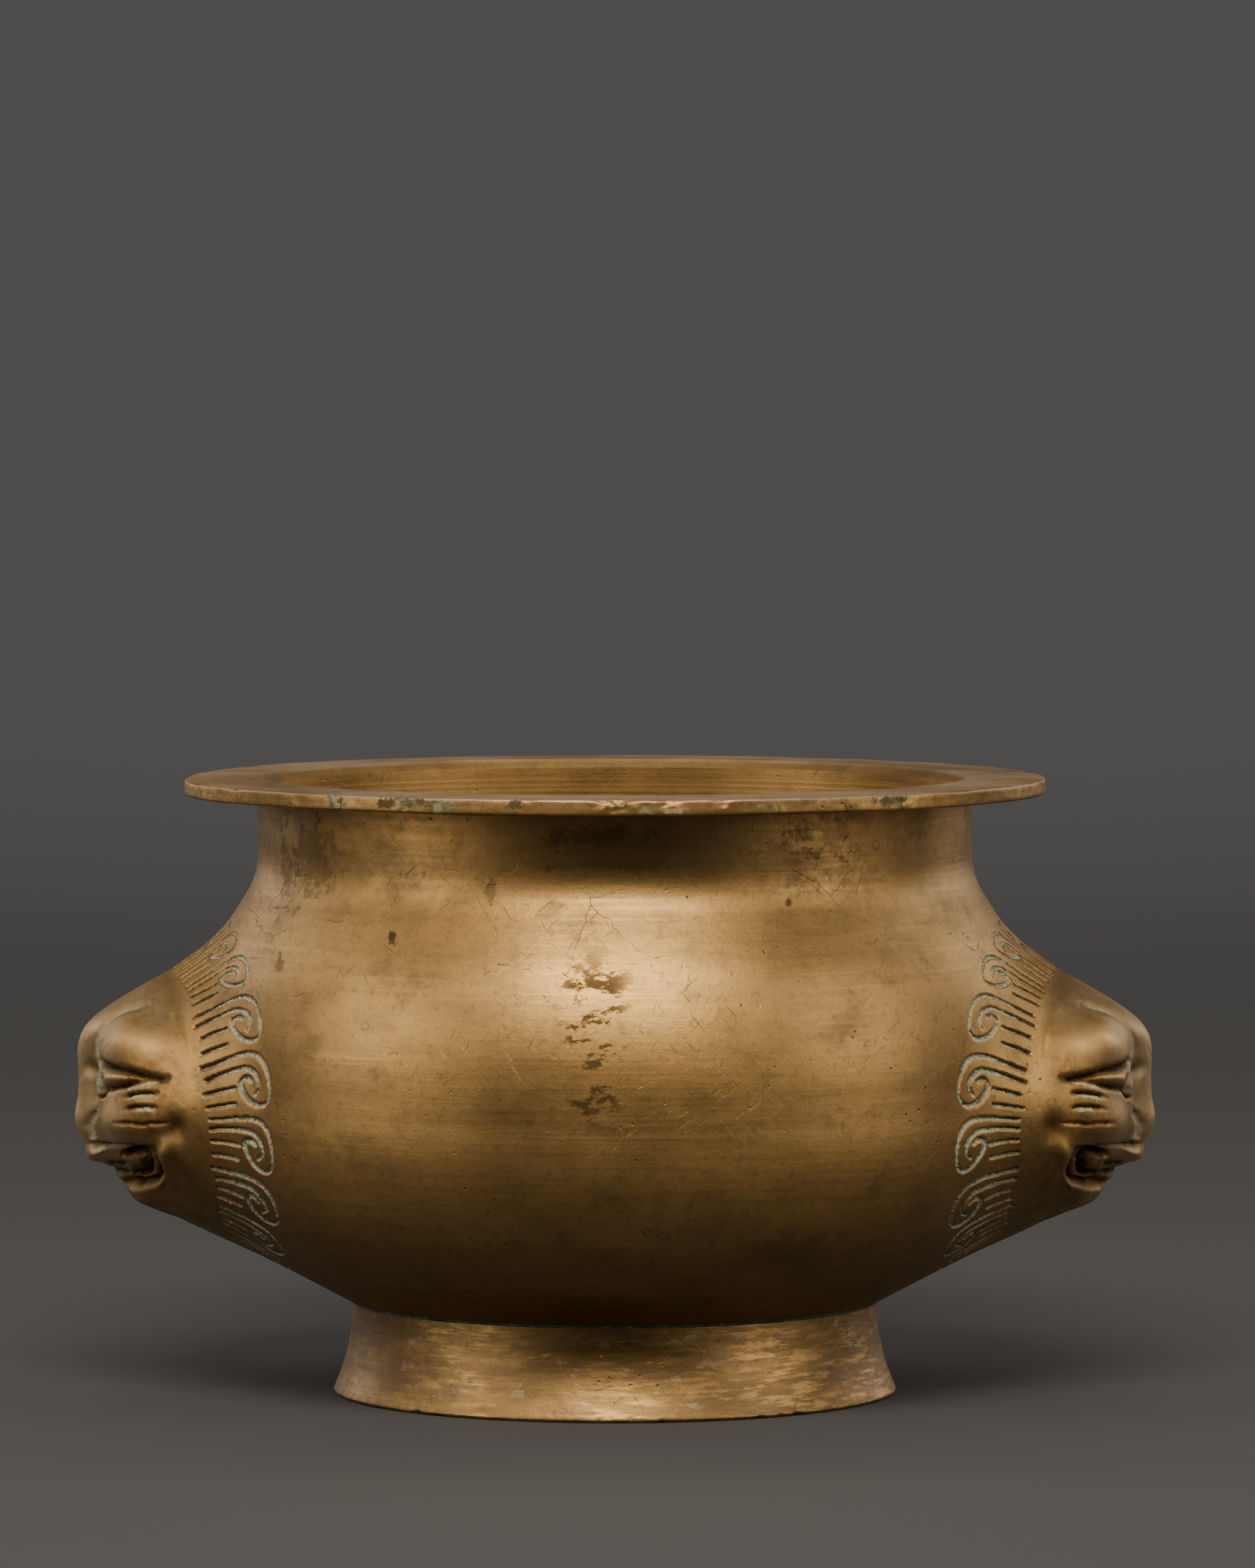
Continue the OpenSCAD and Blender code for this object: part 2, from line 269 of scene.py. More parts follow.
NECK_CURVE_X = NECK_R + NECK_CURVE
NECK_CURVE_Z = (shoulder_end(0)[1]
                + (shoulder_end(0)[0] - NECK_CURVE_X + NECK_CURVE * math.cos(SHOULDER_TURN))
                / math.tan(SHOULDER_TURN) + NECK_CURVE * math.sin(SHOULDER_TURN))


def side_r(z, depth):
    """Radius of the bowl's side at a height, for heights that the collars reach."""
    low, high = low_end(depth), shoulder_end(depth)
    under = np.sqrt(np.maximum((LOW_R - depth) ** 2 - (z - LOW_Z) ** 2, 0))
    over = np.sqrt(np.maximum((SHOULDER_R - depth) ** 2 - (z - SHOULDER_Z) ** 2, 0))
    return np.select(
        [z < low[1], z < LOW_Z, z < SHOULDER_Z, z < high[1]],
        [low[0] + (z - low[1]) * math.tan(LOW_TURN), BOWL_R - LOW_R + under,
         np.full_like(z, BOWL_R - depth), BOWL_R - SHOULDER_R + over],
        high[0] - (z - high[1]) * math.tan(SHOULDER_TURN))


def side_profile(depth, fine):
    straight = int(6 * fine)
    slope = np.linspace(shoulder_end(depth),
                        (NECK_CURVE_X - (NECK_CURVE + depth) * math.cos(SHOULDER_TURN),
                         NECK_CURVE_Z - (NECK_CURVE + depth) * math.sin(SHOULDER_TURN)), straight + 1)[1:-1]
    neck = np.linspace((NECK_R - depth, NECK_CURVE_Z), (NECK_R - depth, NECK_TOP), straight + 1)[1:]
    wall_mid = np.linspace((BOWL_R - depth, LOW_Z), (BOWL_R - depth, SHOULDER_Z), straight + 1)[1:-1]
    return np.vstack([
        arc(BOWL_R - LOW_R, LOW_Z, LOW_R - depth, -LOW_TURN, 0, int(26 * fine)), wall_mid,
        arc(BOWL_R - SHOULDER_R, SHOULDER_Z, SHOULDER_R - depth, 0, SHOULDER_TURN, int(18 * fine)), slope,
        arc(NECK_CURVE_X, NECK_CURVE_Z, NECK_CURVE + depth, math.pi + SHOULDER_TURN, math.pi,
            int(8 * fine)), neck])


def floor_profile(depth, reach):
    a0, a1 = math.asin(AXIS_R / FLOOR_R), math.asin(reach / FLOOR_R)
    return arc(0, FLOOR_Z + FLOOR_R, FLOOR_R - depth, -math.pi / 2 + a0, -math.pi / 2 + a1, 14)


# ---------------------------------------------------------------- opening, collar and head
def oval(angle, grow):
    c, s, e = np.cos(angle), np.sin(angle), 2 / OPEN_POWER
    return (np.sign(c) * np.abs(c) ** e * (OPEN_Y + grow),
            OPEN_MID + np.sign(s) * np.abs(s) ** e * (OPEN_Z + grow))


def opening_point(angle, depth, grow=0.0):
    y, z = oval(angle, grow)
    return np.stack([np.sqrt(side_r(z, depth) ** 2 - y * y), y, z], -1)


def control_net():
    """Control points of the head: eight profiles around it, with one point past each end."""
    def flip(profile):
        return [(x, -y, z) for x, y, z in profile]
    net = np.array([SIDE, HIGH, TOP, flip(HIGH), flip(SIDE), flip(LOW), UNDER, LOW], float)
    before = 2 * net[:, :1] - net[:, 1:2]
    after = np.roll(net, 4, axis=0)[:, -2:-1]
    return np.concatenate([before, net, after], axis=1)


NET = control_net()
SPANS = NET.shape[1] - 3


def skin(angle, t):
    """Plain skin of the head: t runs from the seam, 0, to the front of the face, 1."""
    eighth = angle / (math.pi / 4)
    k = np.floor(eighth).astype(int)
    j = np.minimum(np.floor(t * SPANS).astype(int), SPANS - 1)
    u, v = (eighth - k)[..., None], (t * SPANS - j)[..., None]
    rows = []
    for dk in (-1, 0, 1, 2):
        kk = (k + dk) % 8
        rows.append(blend_four(NET[kk, j], NET[kk, j + 1], NET[kk, j + 2], NET[kk, j + 3], v))
    return blend_four(*rows, u)


def skin_normal(angle, t):
    t = np.minimum(t, 0.985)
    turn = skin(angle + 0.01, t) - skin(angle - 0.01, t)
    step = skin(angle, t + 0.005) - skin(angle, np.maximum(t - 0.005, 0))
    return unit(np.cross(turn, step))


def head_inner(angle, t):
    p = skin(angle, t)
    return p + (HEAD_CENTRE - p) * (WALL / HEAD_HALF_W + FACE_THICKENING * t)[..., None]


def seam_root(angle):
    zero = np.zeros_like(angle)
    p, q = skin(angle, zero), head_inner(angle, zero)
    return p + unit(q - p) * SEAM_DEPTH


def collar_point(angle, t):
    """Outside of the collar: it leaves the bowl along its surface and runs into the head."""
    a, b = opening_point(angle, 0.0), skin(angle, np.zeros_like(angle))
    chord = b - a
    slope = side_r(a[..., 2] + 0.5, 0.0) - side_r(a[..., 2] - 0.5, 0.0)
    n = unit(np.stack([a[..., 0], a[..., 1], -side_r(a[..., 2], 0.0) * slope], -1))
    start = chord - n * np.sum(chord * n, -1, keepdims=True)
    ahead = unit(skin(angle, np.full_like(angle, 0.04)) - b)
    finish = 0.5 * chord + 0.5 * np.linalg.norm(chord, axis=-1, keepdims=True) * ahead
    t = t[..., None]
    t2, t3 = t * t, t * t * t
    return (a * (2 * t3 - 3 * t2 + 1) + start * (t3 - 2 * t2 + t)
            + b * (3 * t2 - 2 * t3) + finish * (t3 - t2))


def collar_inner(angle, t):
    a, b = opening_point(angle, WALL), head_inner(angle, np.zeros_like(angle))
    return a + (b - a) * t[..., None]


# Width of the collar as the mane's pattern sees it, and the seam's edges on collar and head
COLLAR_W = 20.0
COLLAR_LENGTH, FIRST_SPAN_LENGTH = 21.1, 9.16
EDGE_T = 1 - SEAM_W / 2 / COLLAR_LENGTH
SEAM_T = SEAM_W / 2 / FIRST_SPAN_LENGTH / SPANS

# ---------------------------------------------------------------- the chiselled mane
# One lock, as (across, down): across is 0 at the bowl's side of the collar and 1 at the seam,
# and down runs from this lock's first line, 0, to the next lock's, 1
LOCK_OUTER = [(1.0, 0.06), (0.75, 0.03), (0.52, 0.0), (0.33, 0.01), (0.2, 0.07), (0.1, 0.2), (0.05, 0.37),
              (0.04, 0.53), (0.07, 0.68), (0.16, 0.785), (0.27, 0.77), (0.36, 0.7), (0.43, 0.58),
              (0.46, 0.46), (0.44, 0.38), (0.37, 0.35), (0.31, 0.4)]
LOCK_INNER = [(1.0, 0.27), (0.75, 0.22), (0.52, 0.2), (0.36, 0.215), (0.26, 0.3), (0.2, 0.42), (0.21, 0.53),
              (0.27, 0.62)]
LOCK_STROKES = [[(0.99, 0.5), (0.75, 0.47), (0.54, 0.47)], [(1.0, 0.76), (0.78, 0.73), (0.57, 0.72)]]
LOCKS_PER_SIDE = 10
PITCH_AT_BOWL, PITCH_AT_SEAM = 15.8, 12.0
GROOVE_W, GROOVE_DEPTH = 0.68, 0.55


def lock_coordinates(angle):
    """How many locks down from the top of the ring each angle is, counted on either side of it."""
    fine = np.linspace(-math.pi / 2, math.pi / 2, 721)
    y, z = oval(fine, -2.0)
    length = np.concatenate([[0], np.cumsum(np.hypot(np.diff(y), np.diff(z)))])
    folded = np.arcsin(np.clip(np.sin(angle), -1, 1))
    down = 1 - np.interp(folded, fine, length / length[-1])
    return down * LOCKS_PER_SIDE


def lock_pitch(across):
    """Length of a lock along the ring, from the bowl's side of the collar to the seam."""
    return PITCH_AT_BOWL + (PITCH_AT_SEAM - PITCH_AT_BOWL) * across


def mane_relief(p, angle, t, seed):
    """How deep in a groove of the mane each point is, and how much deposit it holds."""
    across = t.ravel()
    wobble = (0.10 * ripples(p, 1.1, seed + 1) + 0.06 * ripples(p, 3.0, seed + 2)).ravel()
    down = lock_coordinates(angle.ravel())
    side = np.cos(angle.ravel()) > 0
    pitch = lock_pitch(across)
    groove = np.zeros(len(across))
    deposit = np.zeros(len(across))
    rng = np.random.default_rng(seed)
    for flank in (False, True):
        for lock in range(LOCKS_PER_SIDE):
            shift = rng.uniform(-0.03, 0.03, 2)
            stretch = rng.uniform(0.96, 1.04, 2)
            near = (side == flank) & (down > lock - 0.35) & (down < lock + 1.25)
            where = np.flatnonzero(near)
            local = np.stack([across[where] * COLLAR_W, (down[where] - lock) * pitch[where]], -1)
            for k, line in enumerate([LOCK_OUTER, LOCK_INNER, *LOCK_STROKES]):
                q = curve_through([(line[0][0] - rng.uniform(0.05, 0.12), line[0][1]), *line[1:]], 5)
                q = np.stack([(q[:, 0] + 0.25 * shift[0]) * (1 + (stretch[0] - 1) * (1 - q[:, 0])),
                              q[:, 1] * stretch[1] + shift[1] + 0.08], -1)
                path = np.stack([q[:, 0] * COLLAR_W, q[:, 1] * lock_pitch(q[:, 0])], -1)
                gap, along, below = line_distance(local, path)
                width = GROOVE_W * [1.25 - 0.4 * np.exp(-((along - 0.45) / 0.1) ** 2),
                                    1.25 - 0.45 * smooth(0.5, 1.0, along), 1.05, 1.05][k]
                cut = 1 - smooth(0.2 * width, width, gap + wobble[where])
                groove[where] = np.maximum(groove[where], cut)
                curl = 1 - smooth(0.4, 0.8, across[where])
                lower = smooth(-0.35, 0.45, below / width + 0.35 * curl)
                deposit[where] = np.maximum(deposit[where], cut * lower * (0.45 + 0.55 * curl))
    return groove.reshape(t.shape), deposit.reshape(t.shape)


def cast_skin(p, seed, pitted):
    """The same slight waves and pits for collar, joint and head, so that they run into each other."""
    return 0.05 * ripples(p, 9, seed) - 0.16 * specks(p, 1.5, 0.5, seed) * pitted


def mane(side, seed):
    """The collar of one head, with the curls and strokes cut into its outside."""
    around, rows = COLLAR_AROUND, 66
    angles = full_turn(around)
    angle, t = np.meshgrid(angles, np.linspace(0, EDGE_T, rows))
    p = collar_point(angle, t)
    turn = np.roll(p, -1, axis=1) - np.roll(p, 1, axis=1)
    step = np.gradient(p, axis=0)
    n = unit(np.cross(turn, step))
    groove, deposit = mane_relief(p, angle, t, seed)
    edge = smooth(0.0, 0.02, t)
    groove = groove * edge * (1 - smooth(EDGE_T - 0.02, EDGE_T, t))
    ragged = 1 + 0.3 * ripples(p, 1.3, seed + 3)
    lip = 0.08 * np.clip(groove * (1 - groove) * 4, 0, 1)
    height = edge * (cast_skin(p, seed, smooth(0.8, 0.95, t)) + lip) - GROOVE_DEPTH * groove * ragged
    p = p + n * height[..., None]
    inner = [collar_inner(angles, np.full(around, s)) for s in (1, 0.5, 0)]
    rings = np.concatenate([p, seam_root(angles)[None], np.array(inner)])
    extra = np.zeros((4, around))
    collar = closed_rings("mane", rings, side,
                          groove=np.concatenate([groove, extra]), deposit=np.concatenate([deposit, extra]))
    sharp_ring(collar, rows - 1, around)
    return collar


def closed_rings(name, rings, side, **attributes):
    """A closed tube of rings around the X axis, for the right-hand side or mirrored for the left."""
    rows, around = rings.shape[:2]
    quads = ring_quads(rows, around, True)
    verts = rings.reshape(-1, 3).copy()
    if side == "left":
        verts[:, 0] *= -1
        quads = quads[:, ::-1]
    return build_mesh(f"{name}_{side}", verts, [quads], 40,
                      **{key: values.ravel() for key, values in attributes.items()})


# ---------------------------------------------------------------- the lion's face
# The face is laid out as it is seen from the front of the pot.
# Raised and sunken shapes: middle (x, distance from the middle plane, z), half sizes, height
FORMS = [
    ((117.2, 0, 60.2), (5.5, 7.5, 4.8), 1.64),  # tip of the nose
    ((115.2, 0, 52.6), (3.4, 9, 1.9), 2.3),  # front of the upper lip
    ((105.5, 31, 77.2), (8.5, 14, 4.8), 2.6),  # brow
    ((115.2, 11, 68.0), (1.7, 5.5, 5.4), -2.2),  # hollow beside the nose
    ((115.7, 9, 71.7), (1.3, 4, 1.6), -1.2),  # its dark upper end
    ((113.1, 16.5, 67.9), (1.2, 3, 2.5), 0.9),  # eyeball
    ((109.4, 28, 69.4), (3.8, 10, 1.6), 1.5),  # fold over the eye
    ((109.0, 26, 59.6), (6.5, 12, 4.0), 2.2),  # muzzle
    ((98.9, 37, 53.8), (1.5, 12, 2.3), 1.7),  # knob behind the mouth
    ((97.3, 40, 57.8), (1.9, 12, 2.9), -2.0),  # hollow behind the cheek
    ((106.2, 18, 49.7), (1.8, 12, 1.6), 0.7),  # tongue
    ((104.0, 9, 43.2), (4.5, 14, 2.0), 0.9),  # chin
    ((117.0, 5.5, 56.2), (1.5, 2.0, 1.0), -1.0),  # nostril
]
# Cut and raised lines: points (x, z), height, half width, dirt and painted shade, green deposit
LINES = [
    ([(103, 85.9), (105.5, 85.3), (108.6, 84.3), (111.2, 82.4), (112.6, 80.3), (113.5, 78.6), (113.9, 76.8),
      (113.8, 75), (113.2, 73.7)], -0.45, 0.75, 0.15, 0.32),  # edge of the forehead
    ([(113.2, 73.4), (111.7, 72.4), (109.2, 71.6), (107, 71.1), (105, 70.4), (103.1, 69.9), (101.1, 69.5),
      (99.0, 69.4)], -1.7, 0.8, 1.0, 0.0),  # crease under the brow
    ([(112.2, 67), (110, 67.4), (107.5, 67.9), (106, 68.6), (104, 69.1)], -1.1, 0.7, 0.9, 0.0),
    ([(107.9, 66.9), (105.4, 67.7), (103, 68.3), (101, 68.6)], -0.35, 0.4, 0.0, 0.6),
    ([(107.6, 65.2), (106, 65.9), (103.8, 66.2), (101.1, 66.2)], -0.9, 0.45, 0.9, 0.0),
    ([(107.4, 64.8), (105.8, 65.2), (103.8, 65.4), (101.5, 65.7)], -0.1, 0.4, 0.0, 0.6),
    ([(107.2, 62.8), (105.5, 63.1), (103.6, 63.2), (101.3, 62.9)], -0.85, 0.42, 0.9, 0.0),
    ([(105.3, 62.5), (103.6, 62.5), (101.5, 62.4)], -0.1, 0.4, 0.0, 0.6),
    ([(108.2, 60.2), (106, 59.9), (103.8, 59.3), (102.1, 59.5), (99.1, 59.3)], -0.7, 0.4, 0.6, 0.0),
    ([(114.2, 62.5), (114.9, 60.1), (115.1, 58.8), (114.6, 57.1), (113.9, 55.6)], -0.9, 0.7, 0.2, 0.3),
    ([(116.8, 55.0), (114.6, 54.9), (112.2, 54.7), (110, 54.4), (107.5, 54.4), (106, 54.4)],
     -1.0, 0.6, 0.8, 0.0),
    ([(116.4, 53.5), (114, 53.6), (112, 53.6)], 0.5, 0.5, 0.0, 0.35),  # edge of the upper lip
    # painted shadow under the upper lip
    ([(111.6, 50.6), (110, 50.2), (108.4, 49.7)], -0.8, 0.7, 0.8, 0.0),
    ([(106, 54.4), (103.8, 53.5), (102.1, 51.9), (101, 50), (100.5, 47.9), (101.1, 46.8), (102.6, 46.3),
      (104.5, 45.9), (106.3, 46.2), (107.6, 46.5)], -1.5, 0.7, 0.9, 0.0),  # groove around the mouth
    ([(107, 45.1), (105, 45), (103.1, 45.1), (100.6, 45.7), (99.4, 47.2)], 0.7, 0.75, 0.0, 0.0),  # lower lip
    ([(112.4, 70.2), (112.0, 67.6), (112.3, 65.6), (113.2, 65.1)], -1.0, 0.42, 1.0, 0.0),
    ([(114.1, 70.0), (113.9, 68.3), (114.1, 66.6)], -0.5, 0.35, 0.2, 0.8),
    ([(114.7, 70.2), (114.6, 67.5), (114.8, 65.8)], 0.5, 0.4, 0.0, 0.0),
]
MOUTH_LINE = [(108.4, 52.2), (106, 52.7), (104.5, 51.9), (103.7, 50.5), (103.4, 48.8), (104.5, 47.8),
              (105.8, 47.8)]
# Places where dirt, painted shade and deposit gather: middle (x, z), half sizes, dirt and painted shade,
# green deposit
HOLLOWS = [((105.6, 49.8), (4.0, 3.2), 0.75, 0.0), ((113.4, 68.0), (1.7, 3.6), 0.6, 0.38),
           ((114.6, 57.0), (0.9, 2.6), 0.0, 0.4), ((97.5, 57.5), (2.2, 3.0), 0.5, 0.0),
           ((110.0, 54.2), (3.5, 0.7), 0.3, 0.4)]
MOUTH_DEPTH, MOUTH_W = 2.4, 0.85
# Height and distance of the camera, and how far the face's layout is drawn out from its rear end
EYE_HEIGHT, EYE_DISTANCE = 246, 2100
FACE_REAR, FACE_STRETCH = 90, 1.045


def as_seen(q):
    """Where points of a head appear from the front, at true size, in a plane through the pot's axis."""
    off = np.abs(q[:, 1])
    x = q[:, 0] * (1 + off / EYE_DISTANCE)
    z = q[:, 2] - off * (EYE_HEIGHT - q[:, 2]) / EYE_DISTANCE
    return np.stack([FACE_REAR + (x - FACE_REAR) / FACE_STRETCH, off, z], -1)


def face_relief(p, seed):
    """Height of the face over its plain skin, how much dirt and painted shade darken it, and how much green
    deposit lies there.
    """
    q = p.reshape(-1, 3)
    seen = as_seen(q)
    off = seen[:, 1]
    height = np.zeros(len(q))
    dirt_and_shade = np.zeros(len(q))
    green = np.zeros(len(q))
    for centre, radii, h in FORMS:
        form = np.exp(-np.sum(((seen - centre) / radii) ** 2, -1))
        height += h * form
        # Painted shade: every sunken form is darkened.
        if h < 0:
            dirt_and_shade = np.maximum(dirt_and_shade, 0.5 * form ** 1.5)
    wobble = np.stack([ripples(q, 1.6, seed + 2), ripples(q, 1.6, seed + 3)], -1)
    xz = seen[:, [0, 2]] + (0.04 + 0.11 * smooth(16, 24, off))[:, None] * wobble
    flank = smooth(2.0, 5.0, off)
    lips = smooth(54.9, 53.7, xz[:, 1]) * smooth(44, 46, xz[:, 1]) * smooth(100, 103, xz[:, 0])
    height -= 1.0 * lips * smooth(6, 14, off)
    for points, h, width, grime_and_shade, deposit in LINES:
        gap, along, _ = line_distance(xz, curve_through(points, 6))
        ends = smooth(0.0, 0.12, along) * (1 - 0.75 * smooth(0.85, 1.0, along))
        cut = np.exp(-(gap / width) ** 2) * flank * (0.35 + 0.65 * ends)
        height += h * cut
        dirt_and_shade = np.maximum(dirt_and_shade, grime_and_shade * cut)
        green = np.maximum(green, deposit * cut)
    gap, _, _ = line_distance(xz, curve_through(MOUTH_LINE, 6))
    mouth = 1 - smooth(0.4 * MOUTH_W, 1.5 * MOUTH_W, gap)
    height -= MOUTH_DEPTH * mouth * smooth(1.0, 8.0, off)
    front = (np.exp(-((q[:, 2] - 49.2) / 0.8) ** 2) + 0.5 * np.exp(-((q[:, 2] - 46.6) / 0.6) ** 2))
    front *= (1 - smooth(8, 16, off)) * smooth(104, 107, q[:, 0])
    height -= 1.0 * front
    # Dirt and painted shade in the mouth and the cuts at its front.
    dirt_and_shade = np.maximum(dirt_and_shade, np.maximum(mouth, 0.9 * front))
    for middle, radii, grime_and_shade, deposit in HOLLOWS:
        spot = np.exp(-np.sum(((xz - middle) / radii) ** 2, -1)) * flank
        dirt_and_shade = np.maximum(dirt_and_shade, grime_and_shade * spot)
        green = np.maximum(green, deposit * spot)
    height += 0.06 * ripples(q, 7, seed) + 0.03 * ripples(q, 2.2, seed + 1)
    rubbed = smooth(0.3, 2.2, height + 1.0 * smooth(108, 116, q[:, 0])) * (1 - dirt_and_shade)
    shape = p.shape[:-1]
    return [values.reshape(shape) for values in (height, dirt_and_shade, green, rubbed)]


def head(side, seed):
    around, rows = HEAD_AROUND, 172
    angles = full_turn(around)
    s = np.linspace(0, 1, rows, endpoint=False)
    along = SEAM_T + (1 - SEAM_T) * (s + 0.06 * np.sin(2 * math.pi * s) / (2 * math.pi))
    angle, t = np.meshgrid(angles, along)
    p = skin(angle, t)
    height, *marks = face_relief(p, seed)
    fade = smooth(0.0, 0.05, t - SEAM_T)
    skin_waves = cast_skin(p, seed, 1 - smooth(0.03, 0.12, t)) * (1 - smooth(0.8, 0.95, t))
    p = p + skin_normal(angle, t) * (height * fade + skin_waves)[..., None]
    tip_height, *tip_marks = face_relief(NET[0, -2][None], seed)
    tip = NET[0, -2] + np.array([tip_height[0], 0, 0])
    inner = [head_inner(angles, np.full(around, k)) for k in (0.75, 0.5, 0.25, 0.0)]
    rings = np.concatenate([np.array(inner), seam_root(angles)[None], p])
    deep = head_inner(np.zeros(1), np.ones(1))[0]
    verts = np.concatenate([rings.reshape(-1, 3), [deep, tip]])
    first, last = np.arange(around), len(rings) * around - around + np.arange(around)
    caps = np.concatenate([
        np.stack([np.roll(first, -1), first, np.full(around, len(verts) - 2)], -1),
        np.stack([last, np.roll(last, -1), np.full(around, len(verts) - 1)], -1)])
    quads = ring_quads(len(rings), around, False)
    if side == "left":
        verts[:, 0] *= -1
        quads, caps = quads[:, ::-1], caps[:, ::-1]
    blank = np.zeros((5, around))
    marks.append(smooth(0.0, 0.14, t - SEAM_T))
    tip_marks.append(np.ones(1))
    marks = [np.concatenate([blank.ravel(), values.ravel(), [0], end])
             for values, end in zip(marks, tip_marks)]
    face = build_mesh(f"head_{side}", verts, [quads, caps], 50,
                      **dict(zip(("dirt_and_shade", "deposit", "rubbed", "face"), marks)))
    sharp_ring(face, 5, around)
    return face


def head_joint(side, seed):
    """The braze between collar and head: filed flush and pitted."""
    angles, zero, rows = full_turn(COLLAR_AROUND), np.zeros(COLLAR_AROUND), 9
    start, middle, end = collar_point(angles, zero + EDGE_T), skin(angles, zero), skin(angles, zero + SEAM_T)
    n = skin_normal(angles, zero)
    rings = []
    for s in np.linspace(0, 1, rows):
        p = start * (1 - s) ** 2 + end * s ** 2 + 2 * s * (1 - s) * middle
        rings.append(p + n * cast_skin(p, seed, 1.0)[..., None])
    joint = closed_rings("head_joint", np.array([*rings, seam_root(angles)]), side)
    sharp_ring(joint, 0, COLLAR_AROUND)
    sharp_ring(joint, rows - 1, COLLAR_AROUND)
    return joint


def collar_joint(side):
    """The thin braze around the outside of a collar, flush with the bowl."""
    angles = full_turn(COLLAR_AROUND)
    rings = np.array([opening_point(angles, depth, grow) for depth, grow in (
        (0.0, BRAZE_GAP), (0.0, 0.5 * BRAZE_GAP), (0.0, 0.0), (WALL, 0.0), (WALL, BRAZE_GAP))])
    ring = closed_rings("collar_joint", rings, side)
    true_bowl_normals(ring.data)
    return ring


# ---------------------------------------------------------------- the turned pieces
def bowl():
    """The bowl, with an oval opening cut through each side for the collars."""
    start = [(FOOT_BORE_R, FOOT_H), (SEAT_R, FOOT_H)]
    lead = np.linspace((SEAT_R, FOOT_H), low_end(0), 9)[1:-1]
    outer = np.vstack([floor_profile(0, FOOT_BORE_R), start, lead, side_profile(0, 1)])
    inner = np.vstack([floor_profile(WALL, FOOT_TOP_R), side_profile(WALL, 0.7)])
    shell = turned("bowl_shell", np.vstack([outer, inner[::-1]]), BOWL_AROUND)
    plugs = []
    y, z = oval(full_turn(COLLAR_AROUND), BRAZE_GAP)
    near_end, far_end = np.arange(2 * COLLAR_AROUND).reshape(2, 1, -1)
    for sign in (1, -1):
        ends = [np.stack([np.full_like(y, sign * x), y, z], -1) for x in PLUG_ENDS]
        faces = [ring_quads(2, COLLAR_AROUND, False)[:, ::sign], near_end[:, ::-sign], far_end[:, ::sign]]
        plugs.append(build_mesh("plug", np.concatenate(ends), faces))
        modifier = shell.modifiers.new("opening", "BOOLEAN")
        modifier.object, modifier.operation, modifier.solver = plugs[-1], "DIFFERENCE", "EXACT"
    bpy.context.view_layer.update()
    result = bpy.data.meshes.new_from_object(shell.evaluated_get(bpy.context.evaluated_depsgraph_get()))
    shell.modifiers.clear()
    shell.data = result
    for plug in plugs:
        bpy.data.objects.remove(plug)
    true_bowl_normals(shell.data)
    mark_inside(shell.data)
    return shell


def mark_inside(mesh):
    """Marks the vertices on the inside of the bowl, for the material."""
    co = fetch(mesh.vertices, "co", 3) / MM
    side = side_profile(0, 1)
    outside = np.interp(co[:, 2], side[:, 1], side[:, 0])
    above = co[:, 2] > side[0, 1] + 3
    inner = above & (np.hypot(co[:, 0], co[:, 1]) < outside - WALL / 2)
    mesh.attributes.new("inner", "FLOAT", "POINT").data.foreach_set("value", inner.astype(np.float32))


def true_bowl_normals(mesh):
    """Gives the bowl's turned surfaces their exact normals, so that it runs smoothly into the collars."""
    co = fetch(mesh.vertices, "co", 3)[fetch(mesh.loops, "vertex_index")] / MM
    flat = np.repeat(fetch(mesh.polygons, "normal", 3), fetch(mesh.polygons, "loop_total"), axis=0)
    radial, z = unit(co[:, :2]), co[:, 2]
    inside = np.sum(flat[:, :2] * radial, -1) < 0
    step, same_way = 0.05, 0.97
    slopes = [(side_r(z + step, depth) - side_r(z - step, depth)) / (2 * step) for depth in (0.0, WALL)]
    exact = unit(np.stack([radial[:, 0], radial[:, 1], -np.where(inside, slopes[1], slopes[0])], -1))
    exact = np.where(inside[:, None], -exact, exact)
    level = (z > SIDE_START_Z) & (z < NECK_CURVE_Z - NECK_CURVE * math.sin(SHOULDER_TURN))
    close = np.sum(exact * flat, -1) > same_way
    normals = np.where((level & close)[:, None], exact, 0)
    mesh.polygons.foreach_set("use_smooth", np.ones(len(mesh.polygons), bool))
    mesh.set_sharp_from_angle(angle=math.radians(30))
    mesh.normals_split_custom_set([tuple(n) for n in normals])


# Chips in the rim's edge: angle in degrees, depth and half width in millimetres
RIM_CHIPS = [(-90, 1.3, 4.5), (-83, 0.9, 3.2), (-76, 0.7, 2.4), (-49, 1.1, 2.6), (-101, 0.5, 2.2),
             (-118, 0.6, 3.0), (-128.5, 1.5, 0.7), (-62, 0.5, 3.6), (12, 0.8, 3.0), (47, 0.6, 4.0),
             (95, 0.9, 3.4), (151, 0.7, 2.6), (-150, 0.8, 2.8), (-37, 0.5, 2.0), (-166, 0.7, 4.5)]


